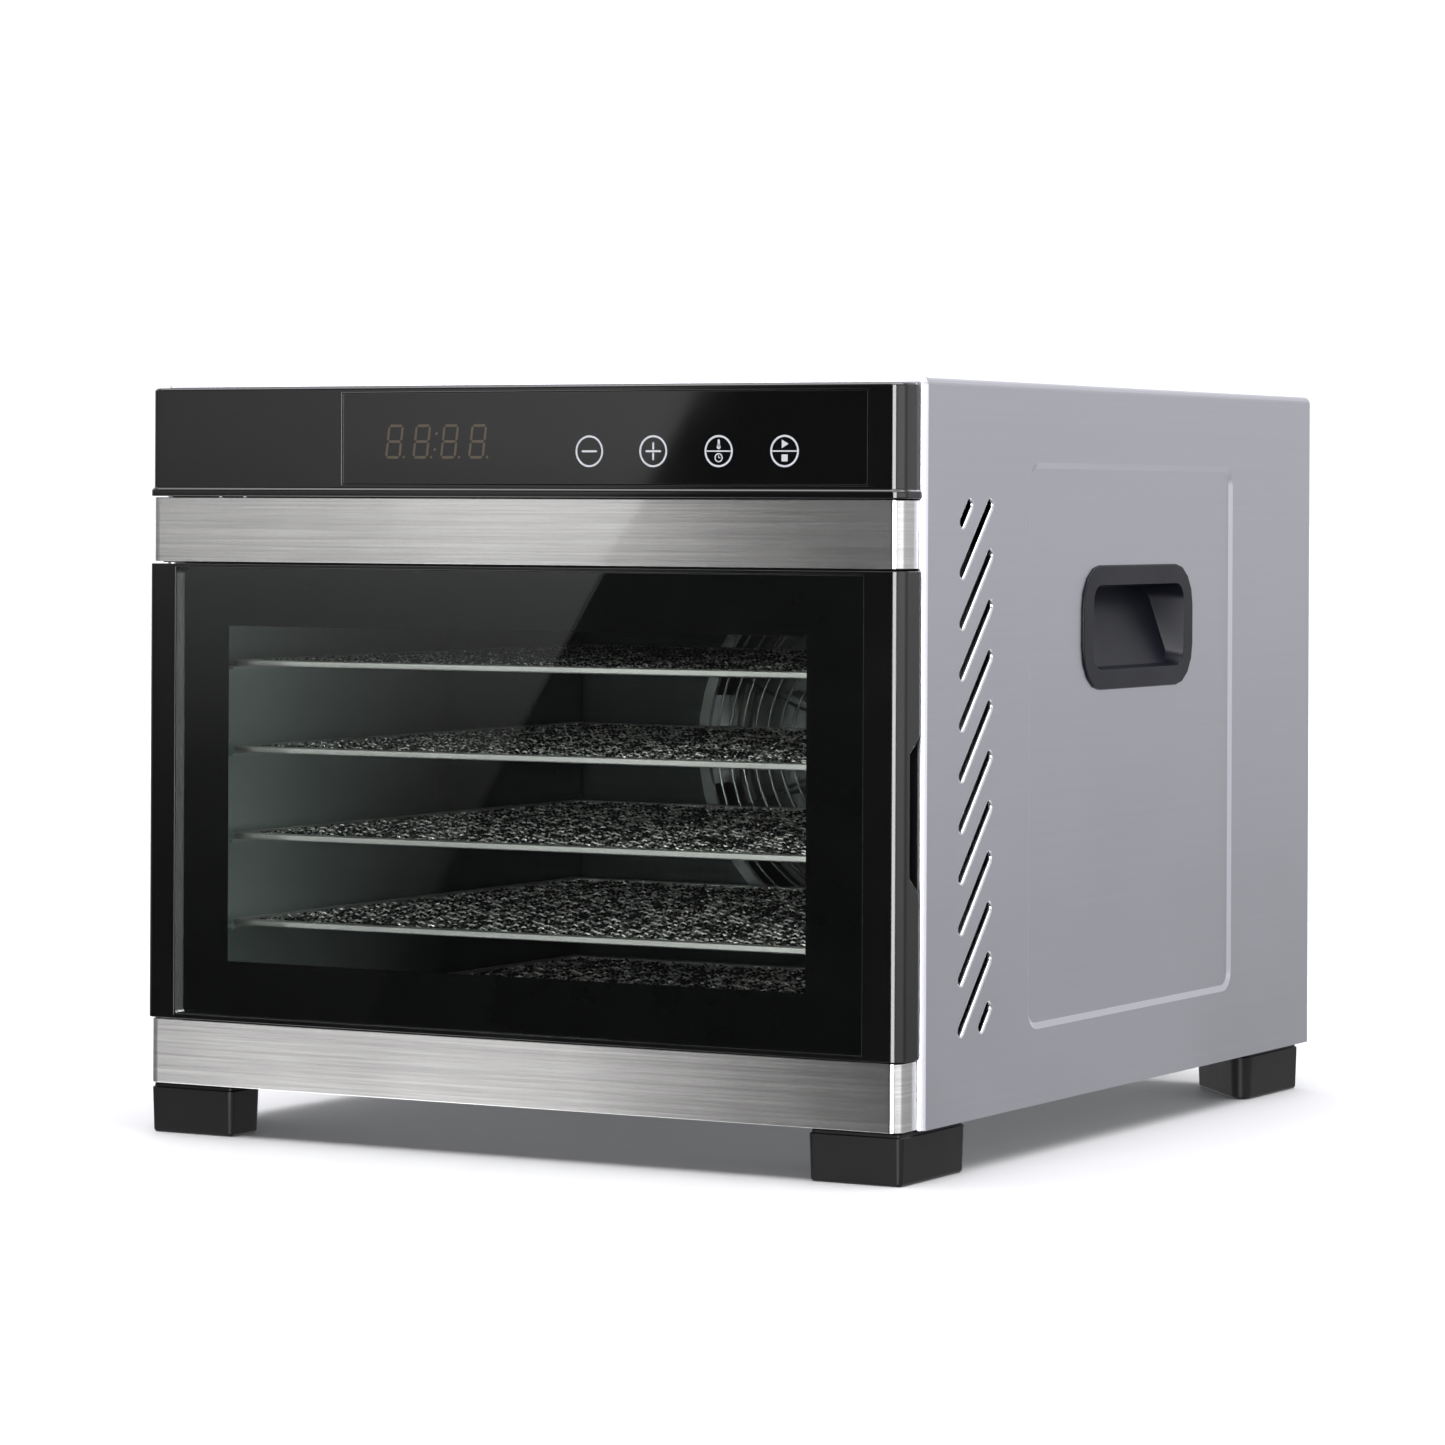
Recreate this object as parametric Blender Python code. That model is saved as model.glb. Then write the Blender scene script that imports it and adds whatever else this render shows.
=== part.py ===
"""Countertop food dehydrator: a steel cabinet with a glass door, six pull-out mesh trays, a touch
control panel above the door, and a heater with its fan behind the rear wall of the cavity.

Lengths are millimetres in the cabinet's own frame: x to the right, y from the front plane to the
rear, z up from the cabinet's underside. The scene is in metres with +Z up and the floor at z = 0.
"""

import math

import bmesh
import bpy
from mathutils import Matrix, Vector
from mathutils.geometry import tessellate_polygon

MM = 0.001
GAP = 0.3  # clearance between pieces that touch

# Overall size
WIDTH = 345.0
DEPTH = 436.0  # front of the door to the rear of the fan cover
CABINET_TOP = 282.0
FOOT_HEIGHT = 20.0

# Steel wrap
SHEET = 0.9
WRAP_FRONT = 16.0
WRAP_REAR = 391.0
WRAP_CORNER = 3.0  # bend between the sides and the top
HEM_RADIUS = 2.5
HEM_RETURN = 3.4  # how far the front hem reaches inward
INSIDE = WIDTH / 2 - SHEET - GAP  # half width left for the pieces inside the wrap

# Diagonal vent slots in the wrap's sides
SLOT_WIDTH = 5.6
SLOT_Y = (46.9, 71.1)  # centres of the round ends
SLOT_RISE = 26.1
SLOT_TOP = 234.5
SLOT_PITCH = 19.3
SLOT_COUNT = 10

# Pressed field and carry handle in each side
FIELD_Y = (106.0, 306.0)
FIELD_Z = (29.6, 251.0)
FIELD_RADIUS = 8.0
FIELD_BORDER = 2.5
FIELD_DEPTH = 1.0
HANDLE_Y = 210.6
HANDLE_Z = 185.3
HANDLE_FLANGE = (108.0, 50.0, 17.0)  # length, height, corner radius
HANDLE_MOUTH = (89.0, 34.0, 7.0)
HANDLE_BODY = (93.4, 38.4, 9.0)
HANDLE_DEPTHS = (5.5, 17.0)  # at the bottom and at the top of the cup
HANDLE_WALL = 1.6

# Front: bands, door and control panel
FRONT_HALF = 170.6
FRONT_DEPTH = 15.6
FRONT_CORNER = 5.0
BAND_SETBACK = 1.2
BAND_HALF = 169.4
BAND_SHEET = 0.8
LOWER_BAND_Z = (0.2, 26.0)
UPPER_BAND_Z = (210.2, 235.9)
PANEL_Z = (236.4, 279.8)
PANEL_LIP = 3.4
PANEL_SETBACK = 0.8
PANEL_WALL = 2.4
OVERLAY_X = (-77.4, 155.4)
OVERLAY_Z = (241.6, 277.0)
OVERLAY_THICKNESS = 0.9
DISPLAY_X = (-60.0, -7.0)
DISPLAY_Z = (249.5, 267.5)

# Door
DOOR_Z = (26.6, 209.3)
HINGE_X = -162.5
HINGE_Y = 7.2
PIN_RADIUS = 2.0
PIN_CLEARANCE = 0.35
PIN_BORE = 10.0
GLASS_X = (-156.1, 154.3)
GLASS_Z = (28.4, 207.6)
GLASS_THICKNESS = 3.0
DOOR_OPENING_X = 142.0
DOOR_OPENING_Z = (39.0, 196.5)
SEAL_OUTER_X = 150.0
SEAL_OUTER_Z = (31.0, 204.5)
SEAL_WIDTH = 5.0
SEAL_DEPTH = 2.4
NOTCH_Z = (88.0, 148.0)
NOTCH_SLOPE = 7.0
NOTCH_DEPTH = 8.8
NOTCH_REACH = 10.0
SEAL_PROUD = 0.4
LATCH_X = (156.0, 164.0)
LATCH_LENGTH = 24.0
LATCH_Z = (60.0, 176.0)
MAGNET_THICKNESS = 2.2
STRIKE_THICKNESS = 1.6

# Cavity
FRAME_Y = (16.4, 20.0)
FRAME_HALF = 168.6
OPENING_X = 151.0
OPENING_Z = (26.9, 208.5)
LINER_HALF = 152.0
LINER_Z = (24.6, 218.0)
BAFFLE_Y = 314.0
INNER_SHEET = 0.8  # thickness of the sheets inside the wrap

# Trays
TRAY_COUNT = 6
TRAY_PITCH = 35.0
TRAY_FLOOR = 27.8
TRAY_HALF = 146.0
TRAY_Y = (24.0, 299.0)
TRAY_RIM = (5.0, 2.6)  # width, height
MESH_THICKNESS = 0.8
MESH_RAISE = 0.9  # above the rim's underside
RAIL_REACH = 8.0

# Fan, motor and heater
FAN_Z = 127.0
FAN_OPENING = 85.0
FAN_RING = (83.5, 88.5)
GUARD_RADIUS = 88.0
GUARD_PITCH = 20.0
GUARD_BAR = 2.0
BLADE_RADIUS = 62.0
BLADE_COUNT = 8
SHAFT_RADIUS = 3.0
ROTOR_RADIUS = 17.0
ROTOR_STACK = 18.0
STATOR_Y = BAFFLE_Y + 45.0
STATOR_STACK = 20.0
STATOR_HALF = 34.0
STATOR_BELOW = 26.0  # from the shaft to the foot of the laminations
COIL_BAR = (FAN_Z + 40.0, FAN_Z + 52.0)  # upper bar of the laminations
COIL_HALF = 18.0
HEATER_RADIUS = 74.0
HEATER_TUBE = 3.3

# Feet
FOOT_INNER_X = 130.0
FOOT_OUTER_X = 169.7
FOOT_FRONT = 3.0
FOOT_DEPTHS = (19.0, 65.0)  # along the inner and the outer side, to the sharp ends of the diagonal

# Rear
REAR_PANEL_Y = 387.7
COVER_HALF = 98.0
COVER_Z = (24.0, 226.0)
COVER_WALL = 2.4
INLET_X = -138.0
INLET_Z = 42.0

# Colour, roughness and metallic value of each finish
STEEL = ((0.62, 0.61, 0.60), 0.32, 1.0)
BRIGHT_STEEL = ((0.70, 0.69, 0.67), 0.25, 1.0)
ZINC = ((0.50, 0.51, 0.52), 0.45, 1.0)
SATIN_BLACK = ((0.018, 0.018, 0.021), 0.38, 0.0)
GLOSS_BLACK = ((0.010, 0.010, 0.011), 0.12, 0.0)
DARK_GREY = ((0.060, 0.063, 0.072), 0.45, 0.0)
RUBBER = ((0.020, 0.020, 0.021), 0.75, 0.0)
SMOKED_GLASS = ((0.030, 0.036, 0.034), 0.05, 0.0)
SILICONE = ((0.10, 0.10, 0.10), 0.7, 0.0)
CIRCUIT_GREEN = ((0.020, 0.110, 0.045), 0.5, 0.0)
COPPER = ((0.60, 0.27, 0.12), 0.4, 1.0)
LAMINATION = ((0.22, 0.22, 0.23), 0.5, 1.0)
FERRITE = ((0.05, 0.05, 0.05), 0.6, 0.0)
HEATER_STEEL = ((0.30, 0.29, 0.28), 0.4, 1.0)


# ---------------------------------------------------------------------------------------------
# Outlines
# ---------------------------------------------------------------------------------------------


def arc(centre, radius, start, end, steps):
    """Points along an arc, both ends included; the angles are degrees."""
    angles = [math.radians(start + (end - start) * i / steps) for i in range(steps + 1)]
    return [(centre[0] + radius * math.cos(a), centre[1] + radius * math.sin(a)) for a in angles]


def circle(centre, radius, steps=32):
    return arc(centre, radius, 0, 360 - 360 / steps, steps - 1)


def rectangle(low, high):
    return [low, (high[0], low[1]), high, (low[0], high[1])]


def centred(centre, size):
    half = (size[0] / 2, size[1] / 2)
    return rectangle((centre[0] - half[0], centre[1] - half[1]), (centre[0] + half[0], centre[1] + half[1]))


def rounded(corners, radii, steps=4):
    """The polygon with each corner replaced by an arc of its radius; radius 0 keeps it sharp."""
    points = []
    for i, (corner, radius) in enumerate(zip(corners, radii)):
        here = Vector(corner)
        before = (Vector(corners[i - 1]) - here).normalized()
        after = (Vector(corners[(i + 1) % len(corners)]) - here).normalized()
        if radius == 0:
            points.append(tuple(here))
            continue
        half = before.angle(after) / 2
        centre = here + (before + after).normalized() * (radius / math.sin(half))
        spoke = here + before * (radius / math.tan(half)) - centre
        sweep = math.copysign(math.pi - 2 * half, before.y * after.x - before.x * after.y)
        for k in range(steps + 1):
            points.append(tuple(centre + Matrix.Rotation(sweep * k / steps, 2) @ spoke))
    return points


def rounded_box(centre, size, steps=4):
    """Rounded rectangle; size is length, height and corner radius."""
    return rounded(centred(centre, size), [size[2]] * 4, steps)


def inset(corners, distance):
    """Counter-clockwise convex polygon with every side moved inward."""
    moved = []
    for i, corner in enumerate(corners):
        here = Vector(corner)
        before = (here - Vector(corners[i - 1])).normalized()
        after = (Vector(corners[(i + 1) % len(corners)]) - here).normalized()
        normal_sum = Vector((-before.y, before.x)) + Vector((-after.y, after.x))
        moved.append(tuple(here + normal_sum * (distance / (1 + before.dot(after)))))
    return moved


def slot(start, end, width, steps=5):
    """Straight slot with round ends, from one end's centre to the other's."""
    heading = math.degrees(math.atan2(end[1] - start[1], end[0] - start[0]))
    return arc(start, width / 2, heading + 90, heading + 270, steps) + arc(
        end, width / 2, heading - 90, heading + 90, steps
    )


# ---------------------------------------------------------------------------------------------
# Solids
# ---------------------------------------------------------------------------------------------

PLACE = {
    "X": lambda a, b, height: (height, a, b),
    "Y": lambda a, b, height: (a, height, b),
    "Z": lambda a, b, height: (a, b, height),
}


def fill(bm, vertices, loops):
    """Faces over the first loop, leaving the others open as holes."""
    if len(loops) == 1:
        bm.faces.new(vertices)
        return
    flat = [[Vector((a, b, 0)) for a, b in loop] for loop in loops]
    for triangle in tessellate_polygon(flat):
        bm.faces.new([vertices[i] for i in triangle])


def prism(outline, low, high, axis="Z", holes=()):
    """Closed prism of an outline between two heights along the axis, with holes right through."""
    loops = [outline, *holes]
    points = [point for loop in loops for point in loop]
    bm = bmesh.new()
    ends = [[bm.verts.new(PLACE[axis](a, b, height)) for a, b in points] for height in (low, high)]
    for end in ends:
        fill(bm, end, loops)
    first = 0
    for loop in loops:
        for i in range(len(loop)):
            here, after = first + i, first + (i + 1) % len(loop)
            bm.faces.new((ends[0][here], ends[0][after], ends[1][after], ends[1][here]))
        first += len(loop)
    return bm


def box(low, high):
    return prism(rectangle(low[:2], high[:2]), low[2], high[2])


def cylinder(centre, radius, low, high, axis="Y", steps=32):
    return prism(circle(centre, radius, steps), low, high, axis)


def loft(loops):
    """Closed solid through a chain of loops with equal counts; its ends are flat caps."""
    bm = bmesh.new()
    rings = [[bm.verts.new(point) for point in loop] for loop in loops]
    bm.faces.new(rings[0])
    bm.faces.new(rings[-1])
    for lower, upper in zip(rings, rings[1:]):
        for i in range(len(lower)):
            j = (i + 1) % len(lower)
            bm.faces.new((lower[i], lower[j], upper[j], upper[i]))
    return bm


def merged(*solids):
    """One bmesh that holds copies of several separate solids."""
    bm = bmesh.new()
    for solid in solids:
        carrier = bpy.data.meshes.new("carrier")
        solid.to_mesh(carrier)
        solid.free()
        bm.from_mesh(carrier)
        bpy.data.meshes.remove(carrier)
    return bm


# ---------------------------------------------------------------------------------------------
# Objects
# ---------------------------------------------------------------------------------------------


def body(name, pivot, parent=None):
    """Empty that carries one rigid body's pieces; a moving body's empty is on its joint's axis."""
    empty = bpy.data.objects.new(name, None)
    empty.empty_display_size = 0.02
    bpy.context.scene.collection.objects.link(empty)
    empty.parent = parent
    empty.location = Vector(pivot) * MM
    return empty


def add_mesh(name, bm, carrier):
    bmesh.ops.recalc_face_normals(bm, faces=bm.faces)
    bmesh.ops.scale(bm, vec=(MM, MM, MM), verts=bm.verts)
    mesh = bpy.data.meshes.new(name)
    bm.to_mesh(mesh)
    bm.free()
    obj = bpy.data.objects.new(name, mesh)
    bpy.context.scene.collection.objects.link(obj)
    obj.parent = carrier
    if carrier.parent:
        obj.location = -carrier.location
    return obj


def smooth(mesh):
    """Smooth shading that keeps edges over 30 degrees crisp."""
    mesh.polygons.foreach_set("use_smooth", [True] * len(mesh.polygons))
    mesh.set_sharp_from_angle(angle=math.radians(30))


def paint(obj, finish):
    """Gives the object a material of its own."""
    colour, roughness, metallic = finish
    material = bpy.data.materials.new(obj.name)
    material.use_nodes = True
    shader = material.node_tree.nodes["Principled BSDF"]
    shader.inputs["Base Color"].default_value = (*colour, 1.0)
    shader.inputs["Roughness"].default_value = roughness
    shader.inputs["Metallic"].default_value = metallic
    material.diffuse_color = (*colour, 1.0)
    obj.data.materials.append(material)


def piece(name, bm, finish, carrier):
    """Visible sub-part."""
    obj = add_mesh(name, bm, carrier)
    smooth(obj.data)
    paint(obj, finish)
    return obj


def boolean(obj, operation, *solids):
    """Cuts the solids from the object, or joins them to it."""
    tool = add_mesh(f"{obj.name}.{operation.lower()}", merged(*solids), obj.parent)
    tool.hide_render = True
    tool.display_type = "WIRE"
    modifier = obj.modifiers.new(operation.title(), "BOOLEAN")
    modifier.operation = operation
    modifier.solver = "EXACT"
    modifier.object = tool


# ---------------------------------------------------------------------------------------------
# Cabinet shell
# ---------------------------------------------------------------------------------------------


def vent_slots():
    """Ten full diagonal slots with a short one at each end of the field, as (y, z) outlines."""
    (front, rear), rise = SLOT_Y, SLOT_RISE
    slots = []
    for i in range(SLOT_COUNT):
        top = SLOT_TOP - SLOT_PITCH * i
        slots.append(slot((front, top - rise), (rear, top), SLOT_WIDTH))
    bottom = SLOT_TOP - SLOT_PITCH * (SLOT_COUNT - 1) - rise
    short = SLOT_PITCH * 0.36
    run = short * (rear - front) / rise
    slots.append(slot((front, SLOT_TOP - short), (front + run, SLOT_TOP), SLOT_WIDTH))
    slots.append(slot((rear - run, bottom), (rear, bottom + short), SLOT_WIDTH))
    return slots


def add_side(bm, side):
    """One flat side of the wrap: vent slots, and the pressed field with the handle's hole."""
    front, top = WRAP_FRONT + HEM_RADIUS, CABINET_TOP - WRAP_CORNER
    outline = rectangle((front, 0), (WRAP_REAR, top))
    field = rectangle((FIELD_Y[0], FIELD_Z[0]), (FIELD_Y[1], FIELD_Z[1]))
    outer = rounded(field, [FIELD_RADIUS] * 4)
    inner = rounded(inset(field, FIELD_BORDER), [FIELD_RADIUS - FIELD_BORDER] * 4)
    length, height, radius = HANDLE_BODY
    hole = rounded_box((HANDLE_Y, HANDLE_Z), (length + 2 * GAP, height + 2 * GAP, radius))

    def ring(loop, x):
        return [bm.verts.new((side * x, y, z)) for y, z in loop]

    flat = [outline, outer, *vent_slots()]
    fill(bm, [v for loop in flat for v in ring(loop, WIDTH / 2)], flat)
    pressed = WIDTH / 2 - FIELD_DEPTH
    rims = (ring(outer, WIDTH / 2), ring(inner, pressed))
    for i in range(len(outer)):
        j = (i + 1) % len(outer)
        bm.faces.new((rims[0][i], rims[0][j], rims[1][j], rims[1][i]))
    fill(bm, ring(inner, pressed) + ring(hole, pressed), [inner, hole])


def outer_wrap(cabinet):
    """Sides and top folded from one sheet, with a hem turned in along the front edge."""
    half, top = WIDTH / 2, CABINET_TOP
    right = arc((half - WRAP_CORNER, top - WRAP_CORNER), WRAP_CORNER, 0, 90, 4)
    path = [(half, 0), *right, *[(-x, z) for x, z in reversed(right)], (-half, 0)]
    headings = [0, *[22.5 * i for i in range(5)], *[90 + 22.5 * i for i in range(5)], 180]
    hem = [(HEM_RETURN, WRAP_FRONT)] + [
        (HEM_RADIUS - x, WRAP_FRONT + HEM_RADIUS + y) for x, y in arc((0, 0), HEM_RADIUS, -90, 0, 4)
    ]
    bm = bmesh.new()
    for side in (-1, 1):
        add_side(bm, side)
    stations = []
    for (x, z), heading in zip(path, headings):
        inward = (-math.cos(math.radians(heading)), -math.sin(math.radians(heading)))
        profile = [(x + d * inward[0], y, z + d * inward[1]) for d, y in [*hem, (0, WRAP_REAR)]]
        stations.append([bm.verts.new(point) for point in profile])
    sides = (0, len(stations) - 2)
    for i, (here, after) in enumerate(zip(stations, stations[1:])):
        columns = len(here) - 2 if i in sides else len(here) - 1
        for j in range(columns):
            bm.faces.new((here[j], here[j + 1], after[j + 1], after[j]))
    bmesh.ops.remove_doubles(bm, verts=bm.verts, dist=0.001)
    wrap = piece("outer_wrap", bm, STEEL, cabinet)
    solidify = wrap.modifiers.new("Sheet", "SOLIDIFY")
    solidify.thickness = SHEET * MM
    solidify.offset = -1
    solidify.use_even_offset = True


def base_pan(cabinet):
    """Bottom sheet with its two sides turned up inside the wrap."""
    low, flange = 0.2, 9.0
    half = INSIDE
    profile = [
        (-half, low), (half, low), (half, flange), (half - INNER_SHEET, flange),
        (half - INNER_SHEET, low + INNER_SHEET), (INNER_SHEET - half, low + INNER_SHEET),
        (INNER_SHEET - half, flange), (-half, flange),
    ]
    piece("base_pan", prism(profile, FRAME_Y[1] + 0.4, REAR_PANEL_Y - 0.4, "Y"), ZINC, cabinet)


def rear_panel(cabinet):
    """Rear sheet with the motor's air opening and the cut-out for the power inlet."""
    corners = rectangle((-INSIDE, 1.6), (INSIDE, CABINET_TOP - SHEET - GAP))
    outline = rounded(corners, [0, 0, WRAP_CORNER, WRAP_CORNER])
    air_radius, inlet_size = 70.0, (28.0, 21.0)
    air = circle((0, FAN_Z), air_radius, 40)
    inlet = centred((INLET_X, INLET_Z), inlet_size)
    bm = prism(outline, REAR_PANEL_Y, REAR_PANEL_Y + INNER_SHEET, "Y", holes=[air, inlet])
    piece("rear_panel", bm, ZINC, cabinet)


def rear_fan_cover(cabinet):
    """Louvred plastic cover over the motor, open towards the rear panel."""
    low, high = (-COVER_HALF, COVER_Z[0]), (COVER_HALF, COVER_Z[1])
    near, far = REAR_PANEL_Y + 1 + GAP, DEPTH
    corners = rectangle(low, high)
    taper = 10.0
    wall = COVER_WALL

    def ring(distance, radius, y):
        return [(x, y, z) for x, z in rounded(inset(corners, distance), [radius] * 4)]

    shell = loft([
        ring(taper + wall, 14, far - wall), ring(wall, 16, near), ring(0, 18, near),
        ring(taper - 2, 17, far - 3), ring(taper, 15, far),
    ])
    cover = piece("rear_fan_cover", shell, SATIN_BLACK, cabinet)
    centre = (COVER_Z[0] + COVER_Z[1]) / 2
    pitch, inner_end, outer_end, width = 17.0, 10.0, 74.0, 6.0
    louvres = []
    for column in (-1, 1):
        for row in range(-4, 5):
            z = centre + pitch * row
            outline = slot((column * inner_end, z), (column * outer_end, z), width)
            louvres.append(prism(outline, far - 6, far + 2, "Y"))
    boolean(cover, "DIFFERENCE", *louvres)


def handle(cabinet, name, side):
    """Carry handle: a flange on the pressed field around a cup that deepens towards its top."""
    outside = WIDTH / 2
    seat = outside - FIELD_DEPTH + GAP
    centre = (HANDLE_Y, HANDLE_Z)
    shallow, deep = HANDLE_DEPTHS
    mouth_low = HANDLE_Z - HANDLE_MOUTH[1] / 2

    def ring(size, depth):
        return [(side * depth(z), y, z) for y, z in rounded_box(centre, size)]

    def floor(extra):
        slope = (deep - shallow) / HANDLE_MOUTH[1]
        return lambda z: outside - shallow - slope * (z - mouth_low) - extra

    flange = HANDLE_FLANGE
    softened = (flange[0] - 1, flange[1] - 1, flange[2] - 0.5)
    floor_size = (HANDLE_MOUTH[0] - 4, HANDLE_MOUTH[1] - 2, HANDLE_MOUTH[2] - 1)
    loops = [
        ring(HANDLE_BODY, floor(HANDLE_WALL)), ring(HANDLE_BODY, lambda z: seat),
        ring(flange, lambda z: seat), ring(flange, lambda z: outside - 0.3),
        ring(softened, lambda z: outside), ring(HANDLE_MOUTH, lambda z: outside),
        ring(floor_size, floor(0)),
    ]
    piece(name, loft(loops), DARK_GREY, cabinet)


def foot(cabinet, name, side, rear):
    """Corner foot with a diagonal inner side, a softened bottom edge and a shadow gap at its top."""
    near, (short, long) = FOOT_FRONT, FOOT_DEPTHS
    corners = [(FOOT_INNER_X, near), (FOOT_OUTER_X, near),
               (FOOT_OUTER_X, near + long), (FOOT_INNER_X, near + short)]
    radii = [2.5, 2.5, 5.0, 4.0]

    def ring(distance, z):
        outline = rounded(inset(corners, distance), [radius - distance for radius in radii])
        return [(side * x, WRAP_REAR - y if rear else y, z) for x, y in outline]

    loops = [ring(1.4, -FOOT_HEIGHT), ring(0.6, 0.8 - FOOT_HEIGHT), ring(0, -1.8),
             ring(0.9, -1.8), ring(0.9, -GAP)]
    piece(name, loft(loops), RUBBER, cabinet)


# ---------------------------------------------------------------------------------------------
# Front
# ---------------------------------------------------------------------------------------------


def front_outline(half, setback, radius, rear=FRONT_DEPTH):
    """Plan of a front piece: rounded front corners, square at the rear, as (x, y)."""
    corners = [(-half, setback), (half, setback), (half, rear), (-half, rear)]
    return rounded(corners, [radius, radius, 0, 0], 6)


def trim_band(cabinet, name, span):
    """Steel band bent round both front corners."""
    corner = FRONT_CORNER - BAND_SETBACK / 2
    outer = front_outline(BAND_HALF, BAND_SETBACK, corner)
    inner = front_outline(BAND_HALF - BAND_SHEET, BAND_SETBACK + BAND_SHEET, corner - BAND_SHEET)
    # Both outlines end with their two rear corners, so the sheet runs from one pair to the other.
    sheet = [outer[-1], *outer[:-1], *reversed(inner[:-1]), inner[-1]]
    piece(name, prism(sheet, *span), BRIGHT_STEEL, cabinet)


def front_frame(cabinet):
    """Moulding behind the door: a plate round the cavity, with blocks that back the two bands."""
    bottom, top = 0.4, PANEL_Z[0] - 0.4
    left, right = -152.0, 160.0
    levels = ((bottom, 23.6), (212.4, top))
    opening = rectangle((-OPENING_X, OPENING_Z[0]), (OPENING_X, OPENING_Z[1]))
    plate = prism(rectangle((-FRAME_HALF, bottom), (FRAME_HALF, top)), *FRAME_Y, "Y", holes=[opening])
    frame = piece("front_frame", plate, SATIN_BLACK, cabinet)
    behind_band = BAND_SETBACK + BAND_SHEET + GAP
    blocks = [box((left, behind_band, low), (right, FRAME_Y[0] + 1, high)) for low, high in levels]
    boolean(frame, "UNION", *blocks)
    near, far = FRAME_Y[0] - 1, FRAME_Y[0] + MAGNET_THICKNESS + 0.4
    boolean(frame, "DIFFERENCE", *[latch_block(z, near, far, GAP) for z in LATCH_Z])


def control_panel(cabinet):
    """Hollow moulding above the upper band, with a lip along its bottom edge."""
    low, high = PANEL_Z
    narrow = FRONT_HALF - PANEL_SETBACK

    def ring(half, setback, z):
        return [(x, y, z) for x, y in front_outline(half, setback, FRONT_CORNER)]

    shell = loft([
        ring(FRONT_HALF, 0, low), ring(FRONT_HALF, 0, low + PANEL_LIP - 0.8),
        ring(narrow, PANEL_SETBACK, low + PANEL_LIP), ring(narrow, PANEL_SETBACK, high - 0.8),
        ring(narrow - 0.8, PANEL_SETBACK + 0.8, high),
    ])
    panel = piece("control_panel", shell, SATIN_BLACK, cabinet)
    face, wall = PANEL_SETBACK, PANEL_WALL
    hollow = box((4 - narrow, face + wall, low + wall), (narrow - 4, FRONT_DEPTH + 1, high - wall))
    pocket = box(
        (OVERLAY_X[0] - GAP, face - 1, OVERLAY_Z[0] - GAP),
        (OVERLAY_X[1] + GAP, face + OVERLAY_THICKNESS + GAP, OVERLAY_Z[1] + GAP),
    )
    window = box((DISPLAY_X[0], face, DISPLAY_Z[0]), (DISPLAY_X[1], face + wall + 1, DISPLAY_Z[1]))
    boolean(panel, "DIFFERENCE", hollow, pocket)
    boolean(panel, "DIFFERENCE", window)


def control_overlay(cabinet):
    """Glossy touch overlay let into the panel's face; the display shows through it."""
    front = PANEL_SETBACK
    low, high = (OVERLAY_X[0], OVERLAY_Z[0]), (OVERLAY_X[1], OVERLAY_Z[1])
    bm = prism(rectangle(low, high), front, front + OVERLAY_THICKNESS, "Y")
    piece("control_overlay", bm, GLOSS_BLACK, cabinet)


def display_module(cabinet):
    """Four-digit display behind its window, with its pins' header at the rear."""
    (left, right), (low, high) = DISPLAY_X, DISPLAY_Z
    face = PANEL_SETBACK + PANEL_WALL + GAP
    display = piece("display_module", box((left - 2, face, low - 2), (right + 2, face + 6, high + 2)),
                    GLOSS_BLACK, cabinet)
    boolean(display, "UNION", box((left + 8, face + 5, low + 6), (right - 8, face + 7, high - 6)))


def control_board(cabinet):
    """Touch and control circuit board across the hollow of the panel, with its relay and processor."""
    near, thickness = 11.0, 1.6
    face = near + thickness - 0.2
    corner = (OVERLAY_X[1] - 1.4, near + thickness, OVERLAY_Z[1] - 2)
    sheet = box((OVERLAY_X[0] - 0.6, near, OVERLAY_Z[0] + 1.4), corner)
    relay = box((60, face, 250), (78, face + 2, 268))
    processor = box((100, face, 248), (118, face + 2.4, 258))
    boolean(piece("control_board", sheet, CIRCUIT_GREEN, cabinet), "UNION", relay, processor)


# ---------------------------------------------------------------------------------------------
# Cavity
# ---------------------------------------------------------------------------------------------


def cavity_liner(cabinet):
    """Four-sided steel tunnel between the front frame and the rear wall."""
    low, high = LINER_Z
    outer = rounded(rectangle((-LINER_HALF, low), (LINER_HALF, high)), [1] * 4, 2)
    inner = rectangle((1 - LINER_HALF, low + INNER_SHEET), (LINER_HALF - 1, high - INNER_SHEET))
    bm = prism(outer, FRAME_Y[1] + 0.4, BAFFLE_Y - 0.4, "Y", holes=[inner])
    piece("cavity_liner", bm, STEEL, cabinet)


def back_baffle(cabinet):
    """Bulkhead behind the cavity, with the fan's opening and a hole for the temperature probe."""
    half = INSIDE - 1.4
    outline = rectangle((-half, 1.6), (half, CABINET_TOP - SHEET - GAP))
    holes = [circle((0, FAN_Z), FAN_OPENING, 48), circle((122, 186), 3.0, 16)]
    piece("back_baffle", prism(outline, BAFFLE_Y, BAFFLE_Y + INNER_SHEET, "Y", holes=holes), STEEL, cabinet)


def fan_ring(cabinet):
    """Raised ring round the fan's opening, on the cavity side."""
    inner, outer = FAN_RING
    bm = prism(circle((0, FAN_Z), outer, 48), BAFFLE_Y - 2.8, BAFFLE_Y - GAP, "Y",
               holes=[circle((0, FAN_Z), inner, 48)])
    piece("fan_ring", bm, BRIGHT_STEEL, cabinet)


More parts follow.
